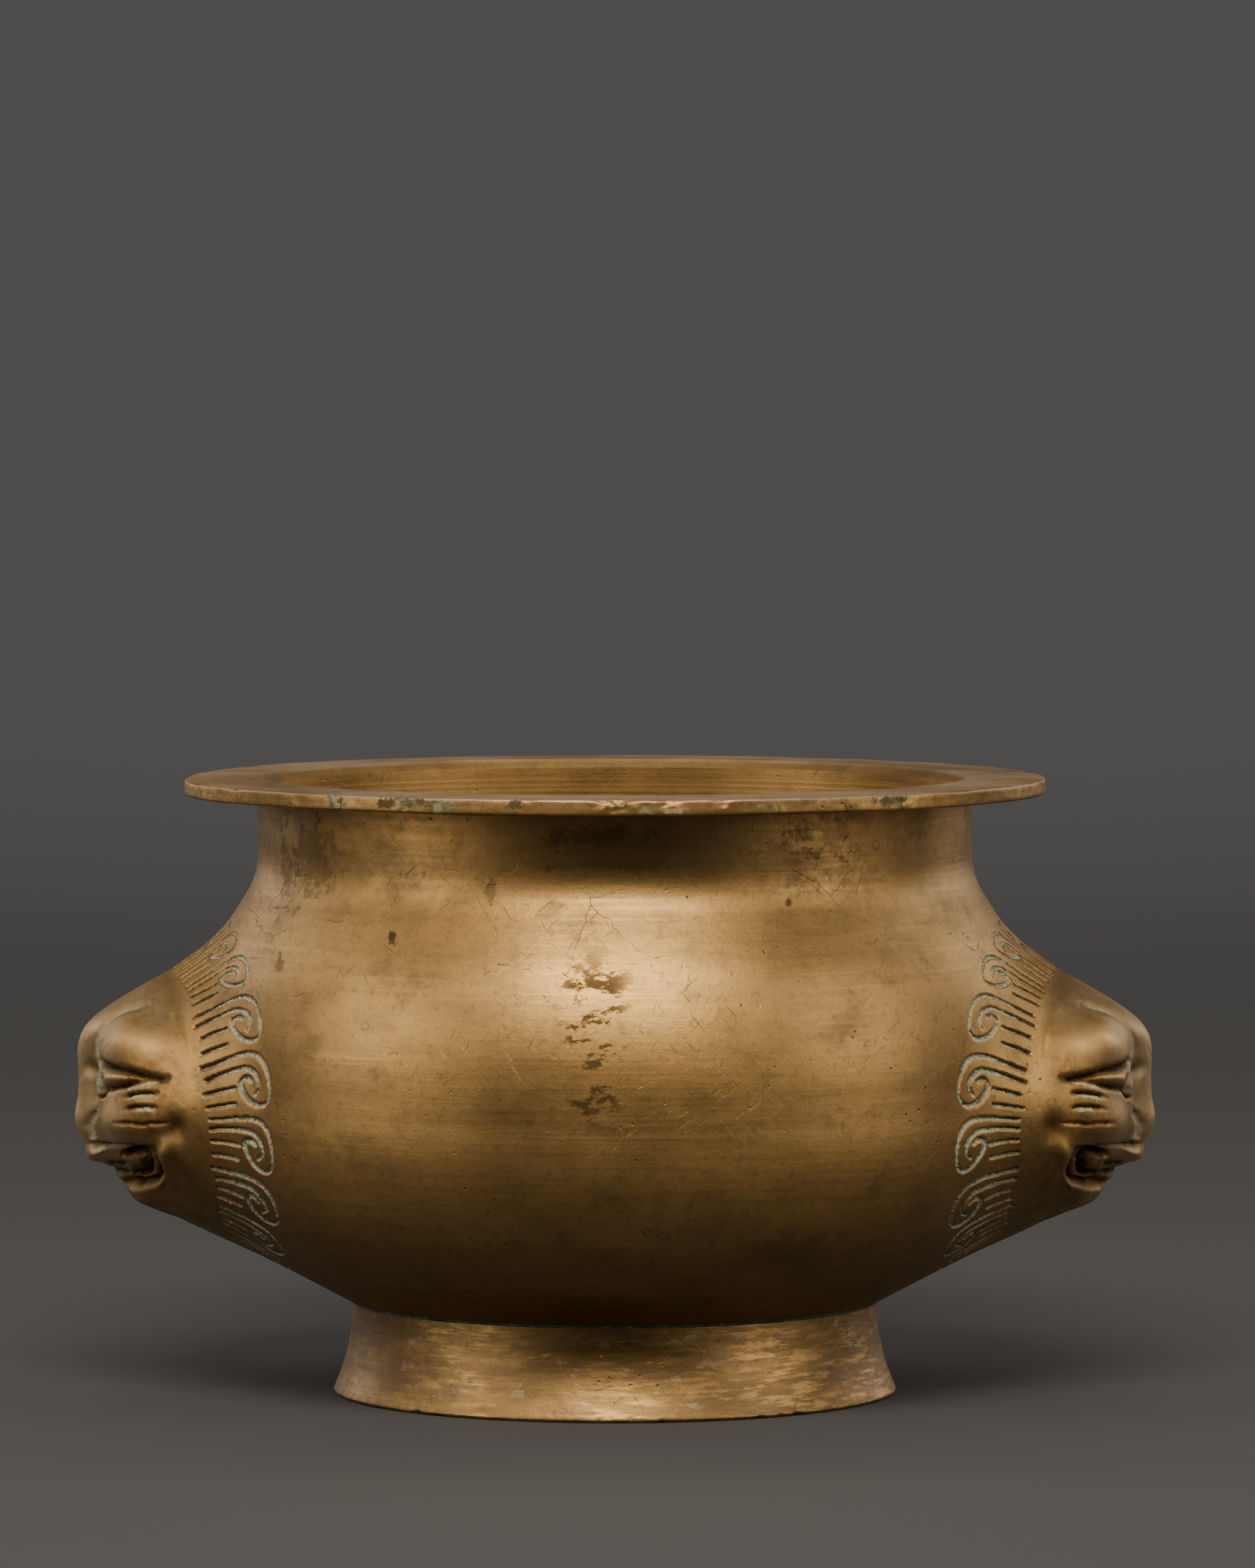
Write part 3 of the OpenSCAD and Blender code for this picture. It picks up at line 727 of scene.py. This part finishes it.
def rim():
    """The rim: flat and turned, with a worn and chipped edge, and bent down a little at the left."""
    bore, edge, bevel = NECK_R - WALL, 0.55, 1.9
    bend_start, bend_depth, bend_degrees = 84, 0.35, 26
    under = np.linspace((bore, NECK_TOP), (RIM_R - edge, NECK_TOP), 17)
    wall = np.linspace((RIM_R, NECK_TOP + edge), (RIM_R, POT_H - edge), 5)[1:-1]
    top = np.linspace((RIM_R - edge, POT_H), (bore + bevel, POT_H), 30)[1:-1]
    inside = np.linspace((bore, POT_H - bevel), (bore, NECK_TOP), 3)[1:-1]
    profile = np.vstack([under[:-1], arc(RIM_R - edge, NECK_TOP + edge, edge, -math.pi / 2, 0, 4), wall,
                         arc(RIM_R - edge, POT_H - edge, edge, 0, math.pi / 2, 4), top,
                         np.linspace((bore + bevel, POT_H), (bore, POT_H - bevel), 5), inside])

    def worn(p):
        r = np.hypot(p[:, 0], p[:, 1])
        a = np.degrees(np.arctan2(p[:, 1], p[:, 0]))
        out = smooth(bend_start, RIM_R, r)
        high = smooth(NECK_TOP, POT_H, p[:, 2])
        wave = 0.10 * ripples(p * (1, 1, 0), 60, 3) + 0.05 * ripples(p * (1, 1, 0), 14, 4)
        drop = out * np.abs(wave) + bend_depth * out * np.exp(-((np.abs(a) - 180) / bend_degrees) ** 2)
        inward = np.abs(0.16 * ripples(p, 22, 5) + 0.08 * ripples(p, 4, 6))
        inward = inward * smooth(RIM_R - 3, RIM_R, r) + 0.06
        chip = np.zeros(len(p))
        jagged = 0.75 + 0.35 * ripples(p, 1.6, 9)
        for place, depth, width in RIM_CHIPS:
            arc_mm = np.radians(a - place) * RIM_R
            chip = np.maximum(chip, depth * np.exp(-(arc_mm / width) ** 2) * jagged)
        chip *= smooth(RIM_R - 1.6, RIM_R, r)
        droop = np.clip(drop, 0, 1.4) * smooth(NECK_R + 1, NECK_R + 9, r)
        return shifted(p, -(inward + 0.55 * chip), -(droop + np.where(high > 0.5, 0.5 * chip, 0)))
    return turned("rim_ring", profile, RIM_AROUND, 35, shape=worn)


def foot():
    """The flared foot ring, with nicks along its lower edge."""
    edge = 0.7
    turn = math.asin((FOOT_H - edge) / FLARE_R)
    outer = arc(FOOT_TOP_R + FLARE_R, FOOT_H, FLARE_R, math.pi, math.pi + turn, 34)
    toe = outer[-1, 0]
    inner = np.linspace((FOOT_INNER_R, edge), (FOOT_BORE_R, FOOT_H), 12)
    profile = np.vstack([inner, outer, arc(toe - edge, edge, edge, -0.001, -math.pi / 2, 5),
                         [(FOOT_INNER_R + edge, 0)]])

    def nicked(p):
        r = np.hypot(p[:, 0], p[:, 1])
        low = 1 - smooth(0.0, 2.2, p[:, 2])
        outside = smooth(FOOT_INNER_R + 1.5, FOOT_INNER_R + 2.5, r)
        nicks = specks(p * (1, 1, 0.5), 6, 0.35, 21) * 0.9 + specks(p * (1, 1, 0.5), 2.6, 0.3, 22) * 0.5
        rough = 0.10 * ripples(p, 9, 23) + 0.06 * ripples(p, 2.5, 24)
        inward = outside * (low * nicks + np.abs(rough) * smooth(0, 1, low + 0.25))
        return shifted(p, -inward, np.where(p[:, 2] < edge * 1.1, outside * low * nicks * 0.5, 0))
    return turned("foot_flare", profile[::-1], FOOT_AROUND, 35, shape=nicked)


def bead_ring(name, profile, seed, rough):
    """A small bead of filler metal in a corner, uneven along its open face."""
    free = np.repeat([0] + [1] * (len(profile) - 3) + [0, 0], BEAD_AROUND)

    def uneven(p):
        push = rough * (ripples(p, 5, seed) * 0.6 + ripples(p, 1.4, seed + 1) * 0.5)
        return shifted(p, np.clip(push, -rough, rough) * free, np.zeros(len(p)))
    return turned(name, profile, BEAD_AROUND, 60, shape=uneven)


def foot_solder():
    slope = np.array(low_end(0)) - (SEAT_R, FOOT_H)
    rise = np.array((SEAT_R, FOOT_H)) + 0.03 * slope
    start = (FOOT_TOP_R, FOOT_H - 0.55)
    face = np.linspace(start, rise, 6)
    profile = np.array([*face, (SEAT_R, FOOT_H), (FOOT_TOP_R, FOOT_H)])
    return bead_ring("foot_solder_bead", profile, 31, 0.10)


def rim_bead():
    face = np.linspace((NECK_R, NECK_TOP - 1.1), (NECK_R + 1.1, NECK_TOP), 5)
    profile = np.array([*face, (NECK_R + 0.4, NECK_TOP), (NECK_R, NECK_TOP)])
    return bead_ring("rim_braze_bead", profile, 41, 0.12)


# ---------------------------------------------------------------- materials
class Value:
    """A shader value that can stand in sums and products."""

    def __init__(self, surface, socket):
        self.surface, self.socket = surface, socket

    def clamped(self):
        return self.surface.math("ADD", self, 0.0, use_clamp=True)

    def __rsub__(self, other):
        return self.surface.math("SUBTRACT", other, self)


for method, operation in (("__add__", "ADD"), ("__sub__", "SUBTRACT"), ("__mul__", "MULTIPLY"),
                          ("__truediv__", "DIVIDE"), ("__abs__", "ABSOLUTE"), ("larger", "MAXIMUM")):
    setattr(Value, method, lambda self, other=0.5, kind=operation: self.surface.math(kind, self, other))


class Surface:
    """One material: its colour, roughness, metal and height, and short ways to add shader nodes."""

    def __init__(self, name):
        self.material = bpy.data.materials.new(name)
        self.material.use_nodes = True
        self.tree = self.material.node_tree
        self.position = self.node("TexCoord", {}, "Object")
        self.x, self.y, self.z = (self.node("SeparateXYZ", {0: self.position}, k) for k in range(3))
        self.metal, self.height = 1.0, None

    def set(self, socket, value):
        if isinstance(value, Value):
            self.tree.links.new(value.socket, socket)
        elif socket.type == "RGBA":
            socket.default_value = (*value, 1.0)
        else:
            socket.default_value = value

    def node(self, kind, inputs, output, **settings):
        """Adds a node and gives one of its outputs."""
        node = self.tree.nodes.new("ShaderNode" + kind)
        for key, value in settings.items():
            setattr(node, key, value)
        for key, value in inputs.items():
            self.set(node.inputs[key], value)
        return Value(self, node.outputs[output])

    def math(self, operation, a, b=0.5, **settings):
        return self.node("Math", {0: a, 1: b}, 0, operation=operation, **settings)

    def stretch(self, scale, shift=(0, 0, 0), turn=0.0):
        """Coordinates scaled along each axis; with a turn they are turned first, by that angle."""
        if turn:
            scale = [1 / v for v in scale]
        return self.node("Mapping", {"Vector": self.position, "Scale": scale, "Location": shift,
                                     "Rotation": (0.3 * turn, turn, 0.5 * turn)}, 0,
                         vector_type="TEXTURE" if turn else "POINT")

    def noise(self, scale, detail=4.0, rough=0.55, vector=None, distort=0.0, output="Fac"):
        return self.node("TexNoise", {"Vector": vector or self.position, "Scale": scale, "Detail": detail,
                                      "Roughness": rough, "Distortion": distort}, output)

    def cells(self, scale, feature="F1", vector=None):
        return self.node("TexVoronoi", {"Vector": vector or self.position, "Scale": scale}, "Distance",
                         feature=feature)

    def ramp(self, value, low, high, out_low=0.0, out_high=1.0):
        return self.node("MapRange", {"Value": value, "From Min": low, "From Max": high, "To Min": out_low,
                                      "To Max": out_high}, "Result", interpolation_type="SMOOTHSTEP")

    def mix(self, factor, a, b):
        return self.node("Mix", {0: factor, 6: a, 7: b}, 2, data_type="RGBA")

    def attribute(self, name):
        return self.node("Attribute", {}, "Fac", attribute_type="GEOMETRY", attribute_name=name)

    def wandering(self, amount):
        """Coordinates pushed about by noise, for lines that wander."""
        push = self.noise(120, 4.0, 0.5, output="Color")
        return self.node("VectorMath", {0: push, 1: (amount,) * 3, 2: self.position}, 0,
                         operation="MULTIPLY_ADD")

    @cached_property
    def ragged(self):
        return self.ramp(self.noise(330, 5, 0.75), 0.3, 0.7, -0.9, 0.9)

    def stain(self, x, z, half_x, half_z, soft=0.5):
        """A ragged spot on the pot's front, at a place and with half sizes in millimetres."""
        across, up = (self.x - x * MM) / (half_x * MM), (self.z - z * MM) / (half_z * MM)
        gap = self.math("SQRT", across * across + up * up) + self.ragged
        return self.ramp(gap, 1.0 + soft / 2, 1.0 - soft / 2) * self.ramp(self.y, -0.015, -0.035)

    def paint(self, mask, colour, strength=1.0, rough=0.0, height=0.0):
        """Lays a colour over the surface where mask is 1, and adds roughness and height there."""
        self.colour = self.mix(mask * strength, self.colour, colour)
        if rough:
            self.rough = self.rough + mask * rough
        if height:
            self.height = self.height + mask * height

    def finish(self, bump=0.35, bump_depth=0.0003):
        shader = self.tree.nodes["Principled BSDF"]
        for key, value in (("Base Color", self.colour), ("Roughness", self.rough), ("Metallic", self.metal)):
            self.set(shader.inputs[key], value)
        if self.height:
            self.set(shader.inputs["Normal"], self.node("Bump", {"Strength": bump, "Distance": bump_depth,
                                                                 "Height": self.height}, "Normal"))
        return self.material


# Colours, linear
GOLD = (0.51, 0.314, 0.108)
BRIGHT = (0.66, 0.42, 0.18)
BROWN_GOLD = (0.33, 0.203, 0.082)
BROWN = (0.130, 0.083, 0.042)
RED_BROWN = (0.16, 0.08, 0.03)
DEEP_BROWN = (0.045, 0.036, 0.020)
# The darkest colour: for pits, cracks and cuts, and for painted shade in creases, hollows and under the rim.
SOOT_AND_SHADE = (0.014, 0.010, 0.006)
VERDIGRIS = (0.36, 0.43, 0.32)
DEEP_GREEN = (0.04, 0.09, 0.06)
PINK_GREY = (0.46, 0.35, 0.27)
CREAM_GREY = (0.42, 0.37, 0.27)

# Stains on the front of the bowl and on the rim's edge: x, z and half sizes in millimetres, strength
STAINS = [(-65, 120, 4.5, 6, 0.4), (-73.5, 130, 2.6, 3, 0.45), (-71, 116, 2, 7, 0.3),
          (-64, 129.5, 0.9, 1.2, 0.6), (-47.7, 105.5, 0.9, 1.1, 0.85), (37.4, 113.5, 0.9, 0.8, 0.85),
          (-72.5, 98.5, 0.7, 1.8, 0.55), (-4, 128, 10, 1.6, 0.5), (-26.5, 116.5, 0.9, 2.2, 0.45),
          (35, 121, 9, 5, 0.15), (-35, 106, 9, 3.5, 0.12), (52, 127, 12, 4, 0.2)]
RIM_STAINS = [(-45, 135.2, 5.0, 1.1, 0.9), (-37, 134.8, 3.5, 0.9, 0.8), (-22, 135.2, 2.2, 0.8, 0.9),
              (-60, 134.6, 0.9, 2.4, 0.9), (30, 134.6, 4.0, 0.8, 0.7), (58, 135, 3.0, 0.9, 0.8),
              (9, 134.2, 5, 0.6, 0.6)]
LATHE_PITCH = 0.0013


def brass(name, marks=None, streaks=1.0, low=True):
    """Worn, patinated brass with the marks of one kind of piece over it; with low set, painted shade darkens
    the piece towards the bottom.
    """
    s = Surface(name)
    broad, medium = s.noise(16, 5, 0.6), s.noise(85, 6, 0.65)
    fine, grain = s.noise(650, 4, 0.65), s.noise(3000, 3, 0.7)
    turning = s.noise(1.0, 4, 0.6, s.stretch((22, 22, 1300)))
    clouds = s.noise(1.0, 6, 0.68, s.stretch((26, 26, 60), (0.4, 0.2, 0.1)))
    bands = s.noise(1.0, 5, 0.65, s.stretch((14, 14, 230), (0.0, 0.7, 0.3)))
    s.rough = (s.ramp(broad, 0.3, 0.7, 0.42, 0.48) + s.ramp(medium, 0.4, 0.8, -0.02, 0.10)
               + s.ramp(turning, 0.4, 0.7, 0.03 * streaks, -0.03 * streaks))
    s.height = fine * 0.45 + turning * (0.22 * streaks) + bands * (0.25 * streaks) + grain * 0.28
    s.colour = s.mix(s.ramp(broad, 0.3, 0.7, 0.15, 0.9), BROWN_GOLD, GOLD)
    for pattern, start, full, strength, colour in (
            (clouds, 0.46, 0.68, 0.36, BROWN), (medium, 0.5, 0.72, 0.5, BROWN),
            (turning, 0.5, 0.8, 0.4 * streaks, GOLD), (fine, 0.5, 0.75, 0.4, BROWN),
            (grain, 0.5, 0.72, 0.45, BROWN)):
        s.paint(s.ramp(pattern, start, full), colour, strength)
    # Painted shade: below 66 mm the colour is mixed towards brown, most at the bottom, for the shaded
    # underside.
    if low:
        s.paint(s.ramp(s.z, 0.066, 0.030) * s.ramp(s.noise(18, 4), 0.3, 0.7, 0.2, 0.5), BROWN)
    s.paint(s.ramp(bands, 0.5, 0.72), BROWN, 0.22 * streaks)
    pits = s.ramp(s.cells(330), 0.05, 0.14, 1.0, 0.0) * s.ramp(s.noise(55, 2, 0.5), 0.52, 0.66)
    s.paint(pits, SOOT_AND_SHADE, 0.7, height=-1.2)
    rings = s.ramp(abs(s.cells(85) - 0.085), 0.0, 0.016, 1.0, 0.0) * s.ramp(s.noise(38, 2), 0.54, 0.60)
    s.paint(rings, BROWN, 0.75)
    for turn, seed in ((0.9, 0.3), (-0.7, 0.8), (0.4, 1.4)):
        scratch = s.noise(1.0, 2, 0.5, s.stretch((2200, 130, 130), (seed, seed, seed), turn))
        s.paint(s.ramp(scratch, 0.69, 0.73) * s.ramp(s.noise(36, 2), 0.45, 0.6), BROWN, 0.6, height=-0.6)
    if marks:
        marks(s)
    return s.finish()


def bowl_marks(s):
    """The bowl's marks: stains at the neck that are partly painted shade under the rim, hairline cracks
    there, dark spots, lathe rings inside and a lighter inside as painted light.
    """
    inner = s.attribute("inner")
    outer = 1.0 - inner
    # Brown and dark patches on the neck under the rim: partly patina, partly painted shade under the rim.
    neck = s.ramp(s.z, 0.096, 0.124) * outer
    s.paint(s.ramp(s.noise(24, 6, 0.7, distort=0.6), 0.46, 0.64) * neck, BROWN, 0.55)
    s.paint(s.ramp(s.noise(62, 6, 0.72), 0.60, 0.68) * neck, SOOT_AND_SHADE, 0.6)
    column = (s.ramp(s.x, -0.015, -0.008) * s.ramp(s.x, -0.001, 0.006, 1.0, 0.0) * s.ramp(s.y, -0.070, -0.088)
              * s.ramp(s.z, 0.062, 0.070) * s.ramp(s.z, 0.096, 0.106, 1.0, 0.0) * outer)
    spots = s.ramp(s.noise(1.0, 5, 0.68, s.stretch((130, 130, 260), (0.0, 0.0, 1.7))), 0.52, 0.58)
    s.paint(column * spots, SOOT_AND_SHADE, 0.72, rough=0.2)
    cracked = s.ramp(s.noise(20, 3), 0.51, 0.57) * s.ramp(s.z, 0.088, 0.104)
    cracked = cracked.larger(s.stain(-22, 111, 36, 9, 0.6)) * outer
    lines = s.ramp(s.cells(46, "DISTANCE_TO_EDGE", s.wandering(0.006)), 0.0, 0.0045, 1.0, 0.0) * cracked
    s.paint(lines * s.ramp(s.noise(70, 3), 0.35, 0.6, 0.15, 0.75), SOOT_AND_SHADE)
    s.height = s.height - lines * 0.5
    for x, z, half_x, half_z, strength in STAINS:
        s.paint(s.stain(x, z, half_x, half_z) * outer, DEEP_BROWN, strength, rough=0.08)
    drops = s.ramp(s.cells(42), 0.055, 0.085, 1.0, 0.0) * s.ramp(s.noise(31, 2), 0.57, 0.62)
    s.paint(drops, DEEP_GREEN, 0.8)
    # Brown on the front of the neck just under the rim: partly patina, partly painted shadow of the rim.
    patina_and_rim_shadow = (s.ramp(s.x, -0.052, -0.005) * s.ramp(s.x, 0.055, 0.03, 0.3, 1.0) * s.ramp(s.y, -0.05, -0.07)
             * s.ramp(s.z, 0.108, 0.127))
    s.paint(patina_and_rim_shadow * outer, BROWN, 0.5)
    calm = s.ramp(s.noise(1.0, 3, 0.6, s.stretch((9, 9, 420))), 0.35, 0.65, 0.2, 1.0)
    lathe = s.math("SINE", s.z * (2 * math.pi / LATHE_PITCH)) * inner * calm
    s.height = s.height + lathe * 0.07
    # Painted light: the inside is painted a lighter gold.
    s.paint(inner, GOLD, 0.35)
    s.paint(s.ramp(lathe, 0.2, 1.0), BROWN, 0.22)


def rim_marks(s):
    """The rim's marks: a painted pinkish-grey reflection on top and green and brown corrosion along the edge.
    """
    # Painted reflection: pinkish-grey on the rim's top face, which is also made a little rougher.
    painted_sheen = s.ramp(s.z, (POT_H - 0.9) * MM, (POT_H - 0.2) * MM) * s.ramp(s.noise(30, 4), 0.35, 0.6, 0.3, 1.0)
    s.paint(painted_sheen, PINK_GREY, 0.6, rough=0.10)
    radius = s.math("SQRT", s.x * s.x + s.y * s.y)
    crust = (s.ramp(s.noise(75, 6, 0.7), 0.56, 0.64) * s.ramp(s.z, (POT_H - 0.1) * MM, (POT_H - 0.8) * MM)
             * s.ramp(radius, (NECK_R + 6) * MM, (RIM_R - 3) * MM))
    for x, z, half_x, half_z, strength in RIM_STAINS:
        crust = crust.larger(s.stain(x, z, half_x, half_z) * strength)
    green = s.mix(s.ramp(s.noise(260, 3), 0.42, 0.6), DEEP_GREEN, VERDIGRIS)
    green = s.mix(s.ramp(s.noise(90, 3), 0.48, 0.56), green, DEEP_BROWN)
    s.paint(crust, green, 0.75, rough=0.3)


def foot_marks(s):
    """The foot's marks: dull brown metal with patches of bright horizontal wear, and flaky patches."""
    s.paint(s.ramp(s.noise(1.0, 6, 0.7, s.stretch((34, 34, 150))), 0.36, 0.6, 0.4, 0.8), BROWN)
    wear = s.ramp(s.noise(1.0, 5, 0.7, s.stretch((110, 110, 750))), 0.48, 0.62)
    s.paint(wear * s.ramp(s.noise(26, 4, 0.6), 0.36, 0.58), GOLD, 0.6, rough=-0.08)
    flakes = s.ramp(s.noise(1.0, 5, 0.65, s.stretch((120, 120, 260), (0.3, 0.1, 0.2))), 0.60, 0.615)
    s.paint(flakes, PINK_GREY, 0.25, rough=0.1, height=-0.5)


def deposit(s):
    """Pale green crumbs in the places that the mesh marks."""
    crumbs = (s.ramp(s.noise(1900, 4, 0.8), 0.36, 0.56, 0.05, 1.25)
              * s.ramp(s.noise(90, 3), 0.32, 0.5, 0.5, 1.0))
    crust = (s.ramp(s.attribute("deposit"), 0.1, 0.5) * crumbs).clamped()
    green = s.mix(s.ramp(s.noise(120, 3), 0.42, 0.62), VERDIGRIS, CREAM_GREY)
    s.paint(crust, green, 0.9, rough=0.35, height=0.8)
    s.metal = 1.0 - crust * 0.9


def mane_marks(s):
    """The mane's marks: dark cuts with deposit in them."""
    depth = (s.attribute("groove") * s.ramp(s.noise(1300, 3, 0.7), 0.3, 0.6, 0.6, 1.2)).clamped()
    s.paint(s.ramp(depth, 0.15, 0.9), SOOT_AND_SHADE, 0.8)
    s.rough = s.rough + depth * 0.25
    deposit(s)


def head_marks(s):
    """The head's marks: bright high places, dull low ones, a painted grey reflection on forehead and snout,
    and dirt with painted shade in creases and hollows.
    """
    face, rubbed = s.attribute("face"), s.attribute("rubbed")
    dull = (1.0 - rubbed) * face * s.ramp(s.noise(140, 5, 0.7), 0.38, 0.66, 0.0, 0.6)
    s.paint(dull * s.ramp(s.z, 0.086, 0.080), RED_BROWN)
    s.paint(rubbed, BRIGHT, 0.6)
    # Painted reflection: a pale grey tone on the top of the head and the front of the snout.
    painted_sheen = s.ramp(s.z, 0.078, 0.090) * s.ramp(s.noise(60, 4), 0.3, 0.6, 0.05, 0.3)
    snout = s.ramp(abs(s.x), 0.104, 0.114, 0.0, 0.4) * s.ramp(s.noise(110, 4), 0.3, 0.6, 0.4, 1.0)
    s.paint(painted_sheen.larger(snout) * face, CREAM_GREY)
    s.rough = s.rough + dull * 0.08 + face * 0.05
    # Dirt, with painted shade in the creases, hollows and mouth.
    grime_and_shade = (s.attribute("dirt_and_shade") * s.ramp(s.noise(260, 4), 0.3, 0.6, 0.7, 1.2)).clamped()
    s.paint(grime_and_shade, SOOT_AND_SHADE, 0.9, rough=0.35)
    deposit(s)


def crust(name, share):
    """Filler metal mostly hidden under verdigris."""
    s = Surface(name)
    s.height = s.noise(700, 4, 0.6)
    green = s.mix(s.ramp(s.height, 0.42, 0.8, 0.0, 0.6), DEEP_GREEN, VERDIGRIS)
    cover = s.ramp(s.noise(120, 5, 0.7), 0.62 - share, 0.72 - share)
    s.colour = s.mix(cover, s.mix(s.ramp(s.height, 0.4, 0.7), BROWN, BROWN_GOLD), green)
    s.rough, s.metal = s.ramp(cover, 0, 1, 0.5, 0.85), s.ramp(cover, 0, 1, 1.0, 0.1)
    return s.finish(0.5, 0.0004)


# ---------------------------------------------------------------- make the pieces
BOWL_BRASS = brass("aged_brass", bowl_marks)
RIM_BRASS = brass("rim_brass", rim_marks, low=False)
FOOT_BRASS = brass("foot_brass", foot_marks, streaks=0.9, low=False)
MANE_BRASS = brass("mane_brass", mane_marks, streaks=0.0)
HEAD_BRASS = brass("head_brass", head_marks, streaks=0.0)
BRAZE = brass("braze_metal", streaks=0.0)
RIM_CRUST = crust("rim_crust", 0.10)
FOOT_CRUST = crust("foot_crust", 0.30)


def finish_piece(piece, material, slot, *nodes):
    piece.data.materials.clear()
    piece.data.materials.append(material)
    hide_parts(*nodes)
    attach(piece, "root")


finish_piece(bowl(), BOWL_BRASS, "aged_brass", "bowl")
finish_piece(rim(), RIM_BRASS, "rim_brass", "rim_flange")
finish_piece(foot(), FOOT_BRASS, "foot_brass", "foot_ring")
finish_piece(foot_solder(), FOOT_CRUST, "verdigris_solder", "foot_solder")
finish_piece(rim_bead(), RIM_CRUST, "braze_metal", "rim_braze")
for side, seed in (("right", 11), ("left", 12)):
    finish_piece(mane(side, seed), MANE_BRASS, "mane_brass", f"mane_collar_{side}")
    finish_piece(collar_joint(side), BOWL_BRASS, "braze_metal", f"collar_braze_{side}")
    finish_piece(head(side, seed), HEAD_BRASS, "head_brass", f"lion_head_{side}")
    finish_piece(head_joint(side, seed), BRAZE, "braze_metal", f"head_braze_{side}")


# ---------------------------------------------------------------- floor, lights and camera
def studio():
    """A floor that sweeps up behind the pot: dark near the pot as painted shadow, lighter behind and in front
    as painted light.
    """
    reach, front, back, height, bend = 4.0, 3.5, 3.3, 3.0, 1.2
    line = [(-front, 0.0), (back - bend, 0.0),
            *arc(back - bend, bend, bend, 0.06 - math.pi / 2, 0, 23), (back, height)]
    verts = [(side * reach / MM, y / MM, z / MM) for side in (-1, 1) for y, z in line]
    count = len(line)
    i = np.arange(count - 1)
    quads = np.stack([i, i + count, i + count + 1, i + 1], -1)
    floor = build_mesh("floor", verts, [quads])
    s = Surface("floor_painted_shade_and_light")
    # Painted shadow: the floor around the pot is dark.
    s.colour, s.rough, s.metal = (0.048, 0.0502, 0.0562), 0.8, 0.0
    # Painted light: lighter towards the backdrop and up it.
    s.paint(s.ramp(s.y, 0.3, 2.4), (0.21, 0.2205, 0.2505))
    # Painted light: a lighter pool on the floor in front.
    s.paint(s.ramp(s.y, -0.35, -0.75), (0.24, 0.25, 0.28))
    floor.data.materials.append(s.finish())


def area_light(name, size, place, aim, power, spread, colour=(1.0, 0.91, 0.79)):
    data = bpy.data.lights.new(name, "AREA")
    data.color = colour
    data.shape = "RECTANGLE"
    data.size, data.size_y = size
    data.energy = power
    data.spread = math.radians(spread)
    light = bpy.data.objects.new(name, data)
    light.location = place
    light.rotation_euler = (Vector(aim) - Vector(place)).to_track_quat("-Z", "Y").to_euler()
    bpy.context.scene.collection.objects.link(light)


def lights():
    middle = (0, 0, 0.08)
    area_light("key", (1.2, 0.42), (-0.03, -1.2, 1.24), middle, 7.4, 80, (1.0, 0.89, 0.72))
    for name, side in (("left", -1), ("right", 1)):
        area_light(name + "_fill", (0.8, 1.0), (side * 1.3, -0.55, 0.55), middle, 2.2 - 0.2 * side, 90)
        area_light(name + "_edge", (0.8, 0.8), (side * 1.28, 0.55, 0.95), middle, 0.75, 80)
        area_light(name + "_rear", (0.7, 0.6), (side * 1.05, 1.0, 0.4), middle, 0.42, 70)
    area_light("top", (1.4, 1.0), (0, 0.6, 1.9), middle, 3.6, 150)
    area_light("backdrop", (2.6, 0.7), (0, 1.7, 2.7), (0, 3.3, 0.6), 16.0, 140)
    world = bpy.data.worlds.new("studio_air")
    world.use_nodes = True
    world.node_tree.nodes["Background"].inputs["Color"].default_value = (0.5, 0.5, 0.5, 1)
    world.node_tree.nodes["Background"].inputs["Strength"].default_value = 0.03
    bpy.context.scene.world = world


def camera():
    """Above the height of the rim and two metres away, as through a long lens."""
    distance, above_floor = EYE_DISTANCE * MM, EYE_HEIGHT * MM
    aim_z, off_axis, view_height = 0.1348, 0.0028, 0.3467
    data = bpy.data.cameras.new("camera")
    data.sensor_width = 36
    data.lens = data.sensor_width * distance / view_height
    data.clip_end = 50
    cam = bpy.data.objects.new("camera", data)
    cam.location = (off_axis, -distance, above_floor)
    aim = Vector((off_axis, 0, aim_z)) - cam.location
    cam.rotation_euler = aim.to_track_quat("-Z", "Y").to_euler()
    bpy.context.scene.collection.objects.link(cam)
    bpy.context.scene.camera = cam


studio()
lights()
camera()
